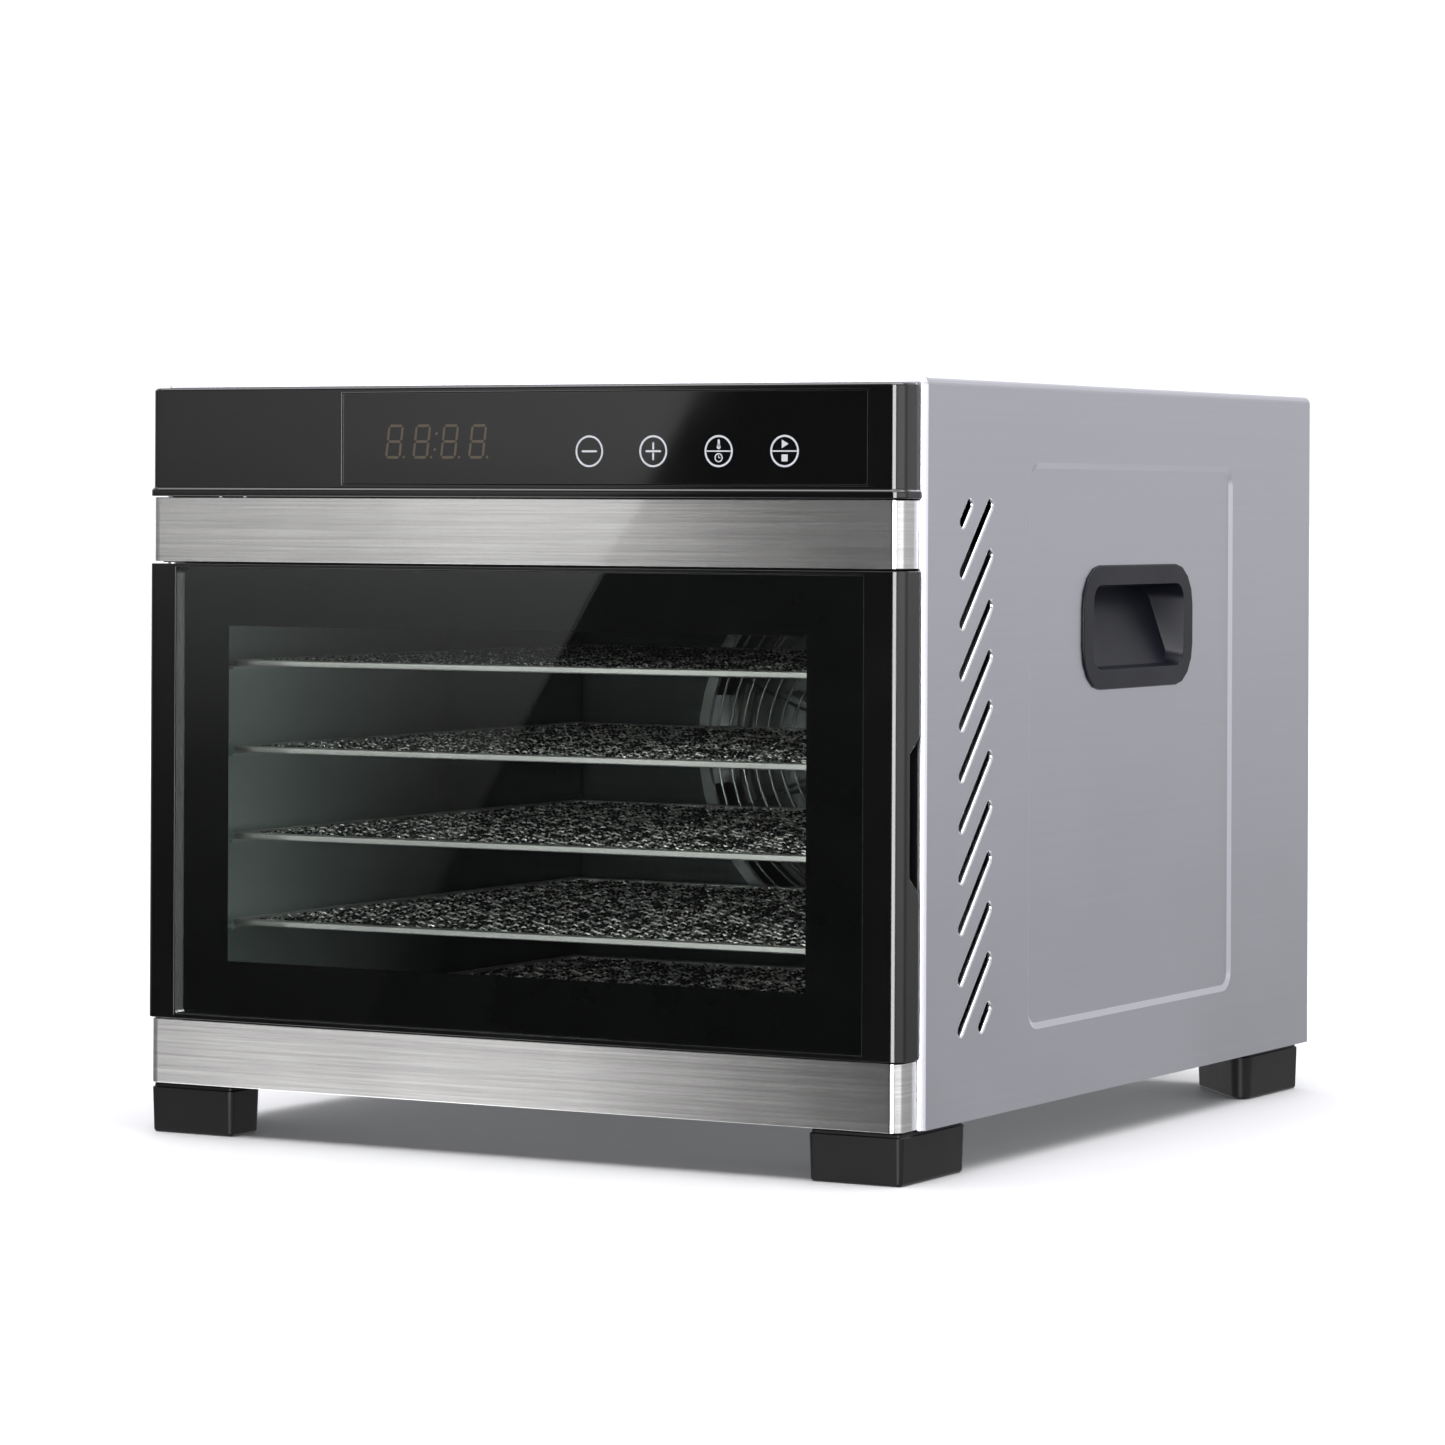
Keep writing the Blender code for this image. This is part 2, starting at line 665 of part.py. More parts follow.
def fan_guard(cabinet):
    """Wire guard behind the opening: a rim with crossing bars."""
    rim = 3.5
    near = BAFFLE_Y + 1 + GAP
    outline = circle((0, FAN_Z), GUARD_RADIUS, 48)
    bm = prism(outline, near, near + 1.6, "Y", holes=[circle((0, FAN_Z), GUARD_RADIUS - rim, 48)])
    guard = piece("fan_guard", bm, BRIGHT_STEEL, cabinet)
    upright, level = [], []
    half_count = int((GUARD_RADIUS - rim) / GUARD_PITCH)
    for i in range(-half_count, half_count + 1):
        offset = i * GUARD_PITCH
        reach = math.sqrt((GUARD_RADIUS - rim / 2) ** 2 - offset**2)
        low, high = offset - GUARD_BAR / 2, offset + GUARD_BAR / 2
        upright.append(box((low, near + 0.2, FAN_Z - reach), (high, near + 1.4, FAN_Z + reach)))
        level.append(box((-reach, near + 0.2, FAN_Z + low), (reach, near + 1.4, FAN_Z + high)))
    boolean(guard, "UNION", *upright)
    boolean(guard, "UNION", *level)


def tray_rack(cabinet, name, side):
    """Side rack: an upright sheet with one folded ledge under each tray."""
    wall = LINER_HALF - 1 - GAP
    back = wall - INNER_SHEET
    profile = [(wall, LINER_Z[1] - 2), (wall, LINER_Z[0] + 1.4), (back, LINER_Z[0] + 1.4)]
    for i in range(TRAY_COUNT):
        ledge = TRAY_FLOOR - GAP + TRAY_PITCH * i
        profile += [(back, ledge - 1.2), (wall - RAIL_REACH, ledge - 1.2),
                    (wall - RAIL_REACH, ledge), (back, ledge)]
    profile.append((back, LINER_Z[1] - 2))
    outline = [(side * x, z) for x, z in profile]
    piece(name, prism(outline, FRAME_Y[1] + 1, BAFFLE_Y - 3, "Y"), STEEL, cabinet)


def tray(index):
    """One pull-out tray: a flat rim around a sheet of woven wire."""
    floor = TRAY_FLOOR + TRAY_PITCH * index
    width, height = TRAY_RIM
    front, rear = TRAY_Y
    slide = body(f"tray_{index + 1}", (0, front, floor), bpy.data.objects["cabinet"])
    outer = rounded(rectangle((-TRAY_HALF, front), (TRAY_HALF, rear)), [3] * 4, 3)
    inside = (TRAY_HALF - width, front + width, rear - width)
    inner = rectangle((-inside[0], inside[1]), (inside[0], inside[2]))
    rim = prism(outer, floor, floor + height, holes=[inner])
    piece(f"tray_frame_{index + 1}", rim, BRIGHT_STEEL, slide)
    low = floor + MESH_RAISE
    sheet = box((GAP - inside[0], inside[1] + GAP, low),
                (inside[0] - GAP, inside[2] - GAP, low + MESH_THICKNESS))
    piece(f"tray_mesh_{index + 1}", sheet, STEEL, slide)


# ---------------------------------------------------------------------------------------------
# Door and its hinge
# ---------------------------------------------------------------------------------------------


def hinge_bracket(cabinet, name, up):
    """Angle bracket on the front frame whose leaf takes one of the door's pins."""
    front, rear = 4.6, FRAME_Y[0] - GAP
    clearance, leaf, upright, sheet = 0.4, 2.0, 14.0, 1.6
    turn = 1 if up else -1
    near = (DOOR_Z[1] if up else DOOR_Z[0]) + turn * clearance
    profile = [
        (front, near), (rear, near), (rear, near + turn * upright), (rear - sheet, near + turn * upright),
        (rear - sheet, near + turn * leaf), (front, near + turn * leaf),
    ]
    bracket = piece(name, prism(profile, HINGE_X - 3.1, HINGE_X + 7.5, "X"), ZINC, cabinet)
    hole = cylinder((HINGE_X, HINGE_Y), PIN_RADIUS + PIN_CLEARANCE, near - 3, near + 3, "Z", 24)
    boolean(bracket, "DIFFERENCE", hole)


def hinge_pin(door, name, up):
    """Pin standing out of the door into a bracket's leaf."""
    sunk, proud = PIN_BORE - GAP, 2.2
    edge, turn = (DOOR_Z[1], 1) if up else (DOOR_Z[0], -1)
    low, high = sorted((edge - turn * sunk, edge + turn * proud))
    piece(name, cylinder((HINGE_X, HINGE_Y), PIN_RADIUS, low, high, "Z", 24), BRIGHT_STEEL, door)


def door_frame(door):
    """Door moulding: rounded behind the hinge at the left, with a finger notch behind its right edge."""
    half = FRONT_HALF
    corners = [(-half, 0), (half, 0), (half, FRONT_DEPTH), (-half, FRONT_DEPTH)]
    plan = rounded(corners, [FRONT_CORNER, FRONT_CORNER, 1.0, FRONT_DEPTH / 2], 8)
    frame = piece("door_frame", prism(plan, *DOOR_Z), SATIN_BLACK, door)
    pocket = box((GLASS_X[0] - GAP, -1, GLASS_Z[0] - GAP),
                 (GLASS_X[1] + GAP, 0.3 + GLASS_THICKNESS + GAP, GLASS_Z[1] + GAP))
    opening = box((-DOOR_OPENING_X, 1, DOOR_OPENING_Z[0]), (DOOR_OPENING_X, FRONT_DEPTH + 1, DOOR_OPENING_Z[1]))
    notch_profile = [
        (FRONT_DEPTH + 1, NOTCH_Z[0]), (FRONT_DEPTH + 1, NOTCH_Z[1]),
        (FRONT_DEPTH, NOTCH_Z[1]), (FRONT_DEPTH - NOTCH_DEPTH, NOTCH_Z[1] - NOTCH_SLOPE),
        (FRONT_DEPTH - NOTCH_DEPTH, NOTCH_Z[0] + NOTCH_SLOPE), (FRONT_DEPTH, NOTCH_Z[0]),
    ]
    notch = prism(notch_profile, half - NOTCH_REACH, half + 1, "X")
    outer, inner = seal_outlines(GAP)
    groove = prism(outer, FRONT_DEPTH - SEAL_DEPTH + SEAL_PROUD, FRONT_DEPTH + 1, "Y", holes=[inner])
    strikes = [
        latch_block(z, FRONT_DEPTH - STRIKE_THICKNESS - 0.4, FRONT_DEPTH + 1, GAP) for z in LATCH_Z
    ]
    bores = [
        cylinder((HINGE_X, HINGE_Y), PIN_RADIUS + PIN_CLEARANCE, low, high, "Z", 24)
        for low, high in ((DOOR_Z[0] - 1, DOOR_Z[0] + PIN_BORE), (DOOR_Z[1] - PIN_BORE, DOOR_Z[1] + 1))
    ]
    boolean(frame, "DIFFERENCE", pocket, groove, notch, *strikes, *bores)
    boolean(frame, "DIFFERENCE", opening)


def seal_outlines(slack):
    """Outer and inner outline of the door seal, or of its groove with some slack."""
    low, high = SEAL_OUTER_Z
    outer = rectangle((-SEAL_OUTER_X - slack, low - slack), (SEAL_OUTER_X + slack, high + slack))
    width = SEAL_WIDTH + 2 * slack
    return [rounded(outer, [6] * 4), rounded(inset(outer, width), [3] * 4)]


def door_seal(door):
    """Silicone seal round the door's rear face."""
    outer, inner = seal_outlines(0)
    near, far = FRONT_DEPTH - SEAL_DEPTH + SEAL_PROUD + GAP, FRONT_DEPTH + SEAL_PROUD
    piece("door_seal", prism(outer, near, far, "Y", holes=[inner]), SILICONE, door)


def door_glass(door):
    """Tempered glass pane set flush into the door's front."""
    pane = rounded(rectangle((GLASS_X[0], GLASS_Z[0]), (GLASS_X[1], GLASS_Z[1])), [2] * 4)
    piece("door_glass", prism(pane, 0.3, 0.3 + GLASS_THICKNESS, "Y"), SMOKED_GLASS, door)


def latch_block(z, near, far, slack=0.0):
    """Block as long and wide as the latch at height z: a magnet, its strike plate, or a recess for one."""
    (left, right), half = LATCH_X, LATCH_LENGTH / 2 + slack
    return box((left - slack, near, z - half), (right + slack, far, z + half))


def latch(cabinet, door, name, z):
    """Magnet in the front frame and the strike plate that meets it on the door."""
    front, rear = FRAME_Y[0] + 0.1, FRONT_DEPTH - 0.1
    piece(f"magnet_{name}", latch_block(z, front, front + MAGNET_THICKNESS), FERRITE, cabinet)
    piece(f"strike_plate_{name}", latch_block(z, rear - STRIKE_THICKNESS, rear), ZINC, door)


# ---------------------------------------------------------------------------------------------
# Fan, motor, heater and electrics
# ---------------------------------------------------------------------------------------------


def fan_impeller(fan):
    """Stamped radial fan: blades and a hub standing on a round plate, bored for the shaft."""
    hub, blade, depth = 9.0, 1.2, 15.0
    plate = BAFFLE_Y + 30.0
    bore = circle((0, FAN_Z), SHAFT_RADIUS + GAP, 24)
    disc = prism(circle((0, FAN_Z), BLADE_RADIUS, 48), plate, plate + 1, "Y", holes=[bore])
    impeller = piece("fan_impeller", disc, ZINC, fan)
    blades = []
    for i in range(BLADE_COUNT):
        tip = (BLADE_RADIUS - 3, plate + 0.5, FAN_Z + blade / 2)
        arm = box((hub - 1, plate - depth, FAN_Z - blade / 2), tip)
        turn = Matrix.Rotation(math.tau * (i + 0.5) / BLADE_COUNT, 3, "Y")
        bmesh.ops.rotate(arm, verts=arm.verts, cent=(0, 0, FAN_Z), matrix=turn)
        blades.append(arm)
    collar = prism(circle((0, FAN_Z), hub, 24), plate - 12, plate + 0.5, "Y", holes=[bore])
    boolean(impeller, "UNION", collar)
    boolean(impeller, "UNION", *blades)


def motor_shaft(fan):
    low, high = BAFFLE_Y + 14.0, REAR_PANEL_Y + 12.0
    piece("motor_shaft", cylinder((0, FAN_Z), SHAFT_RADIUS, low, high, "Y", 24), BRIGHT_STEEL, fan)


def motor_rotor(fan):
    """Squirrel-cage rotor on the shaft, inside the stator's bore."""
    bore = circle((0, FAN_Z), SHAFT_RADIUS + GAP, 24)
    near = STATOR_Y + (STATOR_STACK - ROTOR_STACK) / 2
    bm = prism(circle((0, FAN_Z), ROTOR_RADIUS, 32), near, near + ROTOR_STACK, "Y", holes=[bore])
    piece("motor_rotor", bm, LAMINATION, fan)


def motor_stator(cabinet):
    """Laminated shaded-pole frame: the rotor's bore, and a window under the coil's bar."""
    air_gap, window_half, window_foot = 0.8, 20.0, FAN_Z + 22.0
    outline = rectangle((-STATOR_HALF, FAN_Z - STATOR_BELOW), (STATOR_HALF, COIL_BAR[1]))
    bore = circle((0, FAN_Z), ROTOR_RADIUS + air_gap, 32)
    window = rectangle((-window_half, window_foot), (window_half, COIL_BAR[0]))
    bm = prism(outline, STATOR_Y, STATOR_Y + STATOR_STACK, "Y", holes=[bore, window])
    piece("motor_stator", bm, LAMINATION, cabinet)


def motor_coil(cabinet):
    """Winding wrapped round the stator's upper bar."""
    below, above, before = 17.0, 14.0, 7.0
    low, high = COIL_BAR
    bar = rectangle((STATOR_Y - GAP, low - GAP), (STATOR_Y + STATOR_STACK + GAP, high + GAP))
    outer = rectangle((STATOR_Y - before, low - below), (STATOR_Y + STATOR_STACK + before, high + above))
    bm = prism(rounded(outer, [4] * 4), -COIL_HALF, COIL_HALF, "X", holes=[bar])
    piece("motor_coil", bm, COPPER, cabinet)


def motor_bracket(cabinet):
    """Bridge over the fan that carries the motor: a hat-shaped strap with a hole for the shaft."""
    sheet, half_width, shaft_hole = 1.5, 20.0, 8.0
    near, top = BAFFLE_Y + 1 + GAP, STATOR_Y - 0.5
    outer, inner = 112.0, 99.0
    left = [(-outer, near), (sheet - inner, near), (sheet - inner, top - sheet)]
    right = [(-x, y) for x, y in reversed(left)]
    rear = [(outer, near + sheet), (inner, near + sheet), (inner, top), (-inner, top), (-inner, near + sheet),
            (-outer, near + sheet)]
    strap = prism(left + right + rear, FAN_Z - half_width, FAN_Z + half_width)
    bracket = piece("motor_bracket", strap, ZINC, cabinet)
    boolean(bracket, "DIFFERENCE", cylinder((0, FAN_Z), shaft_hole, top - 4, top + 3))


def heater_element(cabinet):
    """Tubular heater: a ring round the fan whose two ends turn back towards the rear."""
    near = BAFFLE_Y + 13.0
    ring = [(x, near, z) for x, z in arc((0, FAN_Z), HEATER_RADIUS, -78, 258, 56)]
    tails = []
    for x, _, z in (ring[0], ring[-1]):
        bend = [(x, near + 2, z), (x, near + 6, z), (x, near + 30, z)]
        tails.append(bend)
    route = [*reversed(tails[0]), *ring, *tails[1]]
    curve = bpy.data.curves.new("heater_element", "CURVE")
    curve.dimensions = "3D"
    spline = curve.splines.new("POLY")
    spline.points.add(len(route) - 1)
    for point, position in zip(spline.points, route):
        point.co = (*(c * MM for c in position), 1)
    curve.bevel_depth = HEATER_TUBE * MM
    curve.bevel_resolution = 2
    curve.use_fill_caps = True
    heater = bpy.data.objects.new("heater_element", curve)
    bpy.context.scene.collection.objects.link(heater)
    heater.parent = cabinet
    paint(heater, HEATER_STEEL)


def power_board(cabinet):
    """Power supply board in the bay above the cavity, with its tallest components."""
    floor, thickness = LINER_Z[1] + 6, 1.6
    face = floor + thickness - 0.6
    board = piece("power_board", box((-70, 60, floor), (60, 150, floor + thickness)), CIRCUIT_GREEN, cabinet)
    transformer = box((-60, 70, face), (-28, 100, face + 27))
    relay = box((-10, 70, face), (9, 86, face + 16))
    terminals = box((20, 72, face), (50, 84, face + 19))
    capacitor = box((-55, 115, face), (-40, 140, face + 12))
    heat_sink = box((0, 105, face), (40, 109, face + 25))
    boolean(board, "UNION", transformer, relay, terminals, capacitor, heat_sink)


def power_inlet(cabinet):
    """Appliance inlet in the rear panel: a socket with three flat pins."""
    rear = REAR_PANEL_Y + 1 + GAP
    depth, socket, flange_thickness, pin_length = 22.0, 16.0, 2.0, 13.0
    centre = (INLET_X, INLET_Z)

    def ring(size, y):
        return [(x, y, z) for x, z in rounded_box(centre, size, 3)]

    body_size, flange, mouth = (27.2, 20.2, 3), (36, 29, 3), (24, 16.6, 3)
    face = rear + flange_thickness
    shell = loft([
        ring(body_size, rear - depth), ring(body_size, rear), ring(flange, rear), ring(flange, face),
        ring(mouth, face), ring(mouth, rear - socket),
    ])
    inlet = piece("power_inlet", shell, SATIN_BLACK, cabinet)
    pins = []
    for x, z in ((-7, -1.5), (0, 2.5), (7, -1.5)):
        outline = centred((INLET_X + x, INLET_Z + z), (2, 4))
        pins.append(prism(outline, rear - socket - 1, rear - socket - 1 + pin_length, "Y"))
    boolean(inlet, "UNION", *pins)


def thermal_cutout(cabinet):
    """Over-temperature switch on the rear of the baffle: a round case on a flat strap."""
    (x, z), radius, height = (118.0, 215.0), 8.0, 7.0
    strap_half, strap_half_width, strap = 14.0, 6.0, 1.2
    near = BAFFLE_Y + 1 + GAP
    case = cylinder((x, z), radius, near, near + height, "Y", 24)
    corner = (x + strap_half, near + strap, z + strap_half_width)
    ears = box((x - strap_half, near, z - strap_half_width), corner)
    boolean(piece("thermal_cutout", case, FERRITE, cabinet), "UNION", ears)


def temperature_probe(cabinet):
    """Sensor rod through the baffle, with a flange on its rear."""
    centre, radius, flange_radius = (122.0, 186.0), 2.4, 6.0
    inside, outside, flange = 14.0, 8.0, 2.0
    near = BAFFLE_Y + 1 + GAP
    rod = cylinder(centre, radius, BAFFLE_Y - inside, near + outside, "Y", 20)
    disc = cylinder(centre, flange_radius, near, near + flange, "Y", 20)
    boolean(piece("temperature_probe", rod, BRIGHT_STEEL, cabinet), "UNION", disc)


# ---------------------------------------------------------------------------------------------
# Assembly
# ---------------------------------------------------------------------------------------------


def clear_scene():
    for obj in list(bpy.data.objects):
        bpy.data.objects.remove(obj, do_unlink=True)


def build_cabinet(cabinet):
    outer_wrap(cabinet)
    base_pan(cabinet)
    rear_panel(cabinet)
    rear_fan_cover(cabinet)
    for name, side in (("left", -1), ("right", 1)):
        handle(cabinet, f"{name}_handle", side)
        tray_rack(cabinet, f"tray_rack_{name}", side)
        foot(cabinet, f"foot_front_{name}", side, rear=False)
        foot(cabinet, f"foot_rear_{name}", side, rear=True)
    trim_band(cabinet, "lower_trim_band", LOWER_BAND_Z)
    trim_band(cabinet, "upper_trim_band", UPPER_BAND_Z)
    front_frame(cabinet)
    control_panel(cabinet)
    control_overlay(cabinet)
    display_module(cabinet)
    control_board(cabinet)
    cavity_liner(cabinet)
    back_baffle(cabinet)
    fan_ring(cabinet)
    fan_guard(cabinet)
    motor_stator(cabinet)
    motor_coil(cabinet)
    motor_bracket(cabinet)
    heater_element(cabinet)
    power_board(cabinet)
    power_inlet(cabinet)
    thermal_cutout(cabinet)
    temperature_probe(cabinet)


def build_door(cabinet, door):
    door_frame(door)
    door_glass(door)
    door_seal(door)
    for name, up in (("upper", True), ("lower", False)):
        hinge_bracket(cabinet, f"hinge_bracket_{name}", up)
        hinge_pin(door, f"hinge_pin_{name}", up)
    for name, z in zip(("lower", "upper"), LATCH_Z):
        latch(cabinet, door, name, z)


def main():
    clear_scene()
    cabinet = body("cabinet", (0, -DEPTH / 2, FOOT_HEIGHT))
    door = body("door", (HINGE_X, HINGE_Y, DOOR_Z[0]), cabinet)
    fan = body("fan", (0, BAFFLE_Y, FAN_Z), cabinet)
    build_cabinet(cabinet)
    build_door(cabinet, door)
    fan_impeller(fan)
    motor_shaft(fan)
    motor_rotor(fan)
    for index in range(TRAY_COUNT):
        tray(index)


main()
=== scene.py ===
"""Looks of the food dehydrator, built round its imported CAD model.

Lengths are metres in the CAD model's own frame: x to the right, y from the door to the rear,
z up from the floor. A number times MM is in millimetres.
"""

import math

import bmesh
import bpy
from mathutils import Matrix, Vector


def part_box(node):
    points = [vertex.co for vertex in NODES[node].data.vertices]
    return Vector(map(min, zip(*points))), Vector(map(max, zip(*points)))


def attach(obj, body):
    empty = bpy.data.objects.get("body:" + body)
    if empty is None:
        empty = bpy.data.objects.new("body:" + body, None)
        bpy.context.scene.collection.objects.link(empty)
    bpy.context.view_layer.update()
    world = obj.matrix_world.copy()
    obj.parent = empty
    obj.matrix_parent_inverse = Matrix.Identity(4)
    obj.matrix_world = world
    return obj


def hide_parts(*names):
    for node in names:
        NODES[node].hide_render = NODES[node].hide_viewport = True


MM = 0.001

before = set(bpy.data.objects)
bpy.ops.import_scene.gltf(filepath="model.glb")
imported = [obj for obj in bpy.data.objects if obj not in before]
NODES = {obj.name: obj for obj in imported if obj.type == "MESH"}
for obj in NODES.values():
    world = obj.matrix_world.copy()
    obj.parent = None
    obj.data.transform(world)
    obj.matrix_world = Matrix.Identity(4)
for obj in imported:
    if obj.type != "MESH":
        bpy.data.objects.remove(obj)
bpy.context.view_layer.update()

TRAYS = range(1, 7)


# ---------------------------------------------------------------------------------------------
# Node materials
# ---------------------------------------------------------------------------------------------


class Recipe:
    """A material under construction, with short calls for the nodes that it needs."""

    def __init__(self, name, colour, roughness, metallic=0.0):
        self.material = bpy.data.materials.new(name)
        self.material.use_nodes = True
        self.nodes = self.material.node_tree.nodes
        self.links = self.material.node_tree.links
        self.shader = self.nodes["Principled BSDF"]
        self.output = self.nodes["Material Output"]
        self.shader.inputs["Base Color"].default_value = (*colour, 1)
        self.shader.inputs["Roughness"].default_value = roughness
        self.shader.inputs["Metallic"].default_value = metallic
        self.colour, self.roughness = colour, roughness
        self.bumps = []

    def add(self, kind, **settings):
        node = self.nodes.new(kind)
        for key, value in settings.items():
            setattr(node, key, value)
        return node

    def stretched(self, scale):
        """Object coordinates, multiplied along each axis."""
        coordinates = self.add("ShaderNodeTexCoord")
        mapping = self.add("ShaderNodeMapping")
        mapping.inputs["Scale"].default_value = scale
        self.links.new(coordinates.outputs["Object"], mapping.inputs["Vector"])
        return mapping.outputs["Vector"]

    def along(self, axis):
        """Object coordinate along one axis, "X", "Y" or "Z", in metres."""
        coordinates = self.add("ShaderNodeTexCoord")
        split = self.add("ShaderNodeSeparateXYZ")
        self.links.new(coordinates.outputs["Object"], split.inputs["Vector"])
        return split.outputs[axis]

    def noise(self, scale, detail=3.0, roughness=0.5, stretch=(1, 1, 1)):
        """Noise of that many cells a metre, stretched; its value is 0 to 1."""
        node = self.add("ShaderNodeTexNoise")
        node.inputs["Scale"].default_value = scale
        node.inputs["Detail"].default_value = detail
        node.inputs["Roughness"].default_value = roughness
        self.links.new(self.stretched(stretch), node.inputs["Vector"])
        return node.outputs["Fac"]

    def spread(self, value, low, high, source=(0.3, 0.7)):
        """The value moved from the source range to low..high."""
        node = self.add("ShaderNodeMapRange")
        for name, number in zip(("From Min", "From Max", "To Min", "To Max"), (*source, low, high)):
            node.inputs[name].default_value = number
        self.links.new(value, node.inputs["Value"])
        return node.outputs["Result"]

    def vary_colour(self, value, other):
        """Base colour between the recipe's own and another, by the value."""
        mix = self.add("ShaderNodeMix", data_type="RGBA")
        mix.inputs["A"].default_value = (*self.colour, 1)
        mix.inputs["B"].default_value = (*other, 1)
        self.links.new(value, mix.inputs["Factor"])
        self.links.new(mix.outputs["Result"], self.shader.inputs["Base Color"])

    def vary_roughness(self, value, amount):
        spread = self.spread(value, self.roughness - amount, self.roughness + amount)
        self.links.new(spread, self.shader.inputs["Roughness"])

    def brush(self, amount):
        """Spreads reflections upright, as steel that is brushed level does."""
        tangent = self.add("ShaderNodeTangent", direction_type="RADIAL", axis="Z")
        self.links.new(tangent.outputs["Tangent"], self.shader.inputs["Tangent"])
        self.shader.inputs["Anisotropic"].default_value = amount
        self.shader.inputs["Anisotropic Rotation"].default_value = 0.25

    def bump(self, value, height, strength=1.0):
        """Adds relief of that height; later calls stack on earlier ones."""
        node = self.add("ShaderNodeBump")
        node.inputs["Distance"].default_value = height
        node.inputs["Strength"].default_value = strength
        self.links.new(value, node.inputs["Height"])
        if self.bumps:
            self.links.new(self.bumps[-1].outputs["Normal"], node.inputs["Normal"])
        self.bumps.append(node)
        self.links.new(node.outputs["Normal"], self.shader.inputs["Normal"])


def brushed_steel(name, colour, roughness, grain, fine=900.0, relief=0.000012, streak=0.04):
    """Brushed steel, as a recipe that can still be changed.

    grain is the axis that the scratches follow, or "level" for x and y alike; streak is how much
    darker the dark streaks are.
    """
    recipe = Recipe(name, colour, roughness, 1.0)
    along = {"x": (0.012, 1, 1), "y": (1, 0.012, 1), "z": (1, 1, 0.012), "level": (0.01, 0.01, 1)}[grain]
    scratches = recipe.noise(fine, 3.0, 0.65, along)
    streaks = recipe.noise(fine / 3, 3.0, 0.7, along)
    clouds = recipe.noise(9.0, 3.0, 0.6)
    darker = tuple(c * (1 - 2.2 * streak) for c in colour)
    recipe.vary_colour(recipe.spread(streaks, 0.0, 1.0), darker)
    recipe.vary_roughness(clouds, 0.03)
    recipe.bump(scratches, relief, 0.9)
    return recipe


def moulded(name, colour, roughness, grain=1600.0, relief=0.00003, haze=0.05, sheen=0.5):
    """Moulded plastic with a fine spark-eroded texture and slight handling haze."""
    recipe = Recipe(name, colour, roughness)
    recipe.shader.inputs["Specular IOR Level"].default_value = sheen
    recipe.vary_colour(recipe.noise(14.0, 4.0), tuple(c * 1.25 + 0.002 for c in colour))
    recipe.vary_roughness(recipe.noise(30.0, 4.0), haze)
    recipe.bump(recipe.noise(grain, 2.0), relief, 0.35)
    return recipe.material


def clear_pane(name, tint):
    """Thin tinted glass: clear straight through, with the reflection of a polished surface."""
    recipe = Recipe(name, tint, 0.0)
    clear = recipe.add("ShaderNodeBsdfTransparent")
    clear.inputs["Color"].default_value = (*tint, 1)
    gloss = recipe.add("ShaderNodeBsdfGlossy")
    smears = recipe.spread(recipe.noise(25.0, 4.0), 0.0, 0.05, (0.5, 0.8))
    recipe.links.new(smears, gloss.inputs["Roughness"])
    fresnel = recipe.add("ShaderNodeFresnel")
    fresnel.inputs["IOR"].default_value = 1.5
    mix = recipe.add("ShaderNodeMixShader")
    recipe.links.new(fresnel.outputs["Fac"], mix.inputs["Fac"])
    recipe.links.new(clear.outputs["BSDF"], mix.inputs[1])
    recipe.links.new(gloss.outputs["BSDF"], mix.inputs[2])
    recipe.links.new(mix.outputs["Shader"], recipe.output.inputs["Surface"])
    recipe.nodes.remove(recipe.shader)
    return recipe.material


# ---------------------------------------------------------------------------------------------
# Pieces
# ---------------------------------------------------------------------------------------------


def dress(node, material):
    """Gives a CAD node its finished material."""
    obj = NODES[node]
    obj.data.materials.clear()
    obj.data.materials.append(material)


def soften(node, width, segments=2, angle=30):
    """Rounds a CAD node's edges in the render by a small bevel."""
    obj = NODES[node]
    weld = obj.modifiers.new("Weld", "WELD")
    weld.merge_threshold = 1e-6
    flat = obj.modifiers.new("Flat", "DECIMATE")
    flat.decimate_type = "DISSOLVE"
    flat.angle_limit = math.radians(0.5)
    bevel = obj.modifiers.new("Bevel", "BEVEL")
    bevel.width = width
    bevel.segments = segments
    bevel.limit_method = "ANGLE"
    bevel.angle_limit = math.radians(angle)
    bevel.harden_normals = False
    weighted = obj.modifiers.new("Weighted", "WEIGHTED_NORMAL")
    weighted.keep_sharp = False


def piece(name, bm, material, body, smooth=False):
    """New visible piece that rides on a body."""
    mesh = bpy.data.meshes.new(name)
    bm.to_mesh(mesh)
    bm.free()
    if smooth:
        mesh.shade_smooth()
    mesh.materials.append(material)
    return place(name, mesh, body)


def place(name, mesh, body, location=(0, 0, 0)):
    obj = bpy.data.objects.new(name, mesh)
    bpy.context.scene.collection.objects.link(obj)
    obj.location = location
    bpy.context.view_layer.update()
    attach(obj, body)
    return obj


def slab(bm, outer, front, back, inner=None):
    """Flat shape between two depths, from an outline of (x, z) points and an equal count round an opening."""
    loops = [outer] if inner is None else [outer, inner]
    rings = [[[bm.verts.new((x, y, z)) for x, z in loop] for y in (front, back)] for loop in loops]
    for i in range(len(outer)):
        j = (i + 1) % len(outer)
        for near, far in rings:
            bm.faces.new((near[i], near[j], far[j], far[i]))
        if inner:
            for edge, opening in zip(*rings):
                bm.faces.new((edge[i], edge[j], opening[j], opening[i]))
    if not inner:
        for loop in rings[0]:
            bm.faces.new(loop)
    bmesh.ops.recalc_face_normals(bm, faces=bm.faces)


def circle(x, z, radius, steps=40):
    return [
        (x + radius * math.cos(math.tau * i / steps), z + radius * math.sin(math.tau * i / steps))
        for i in range(steps)
    ]


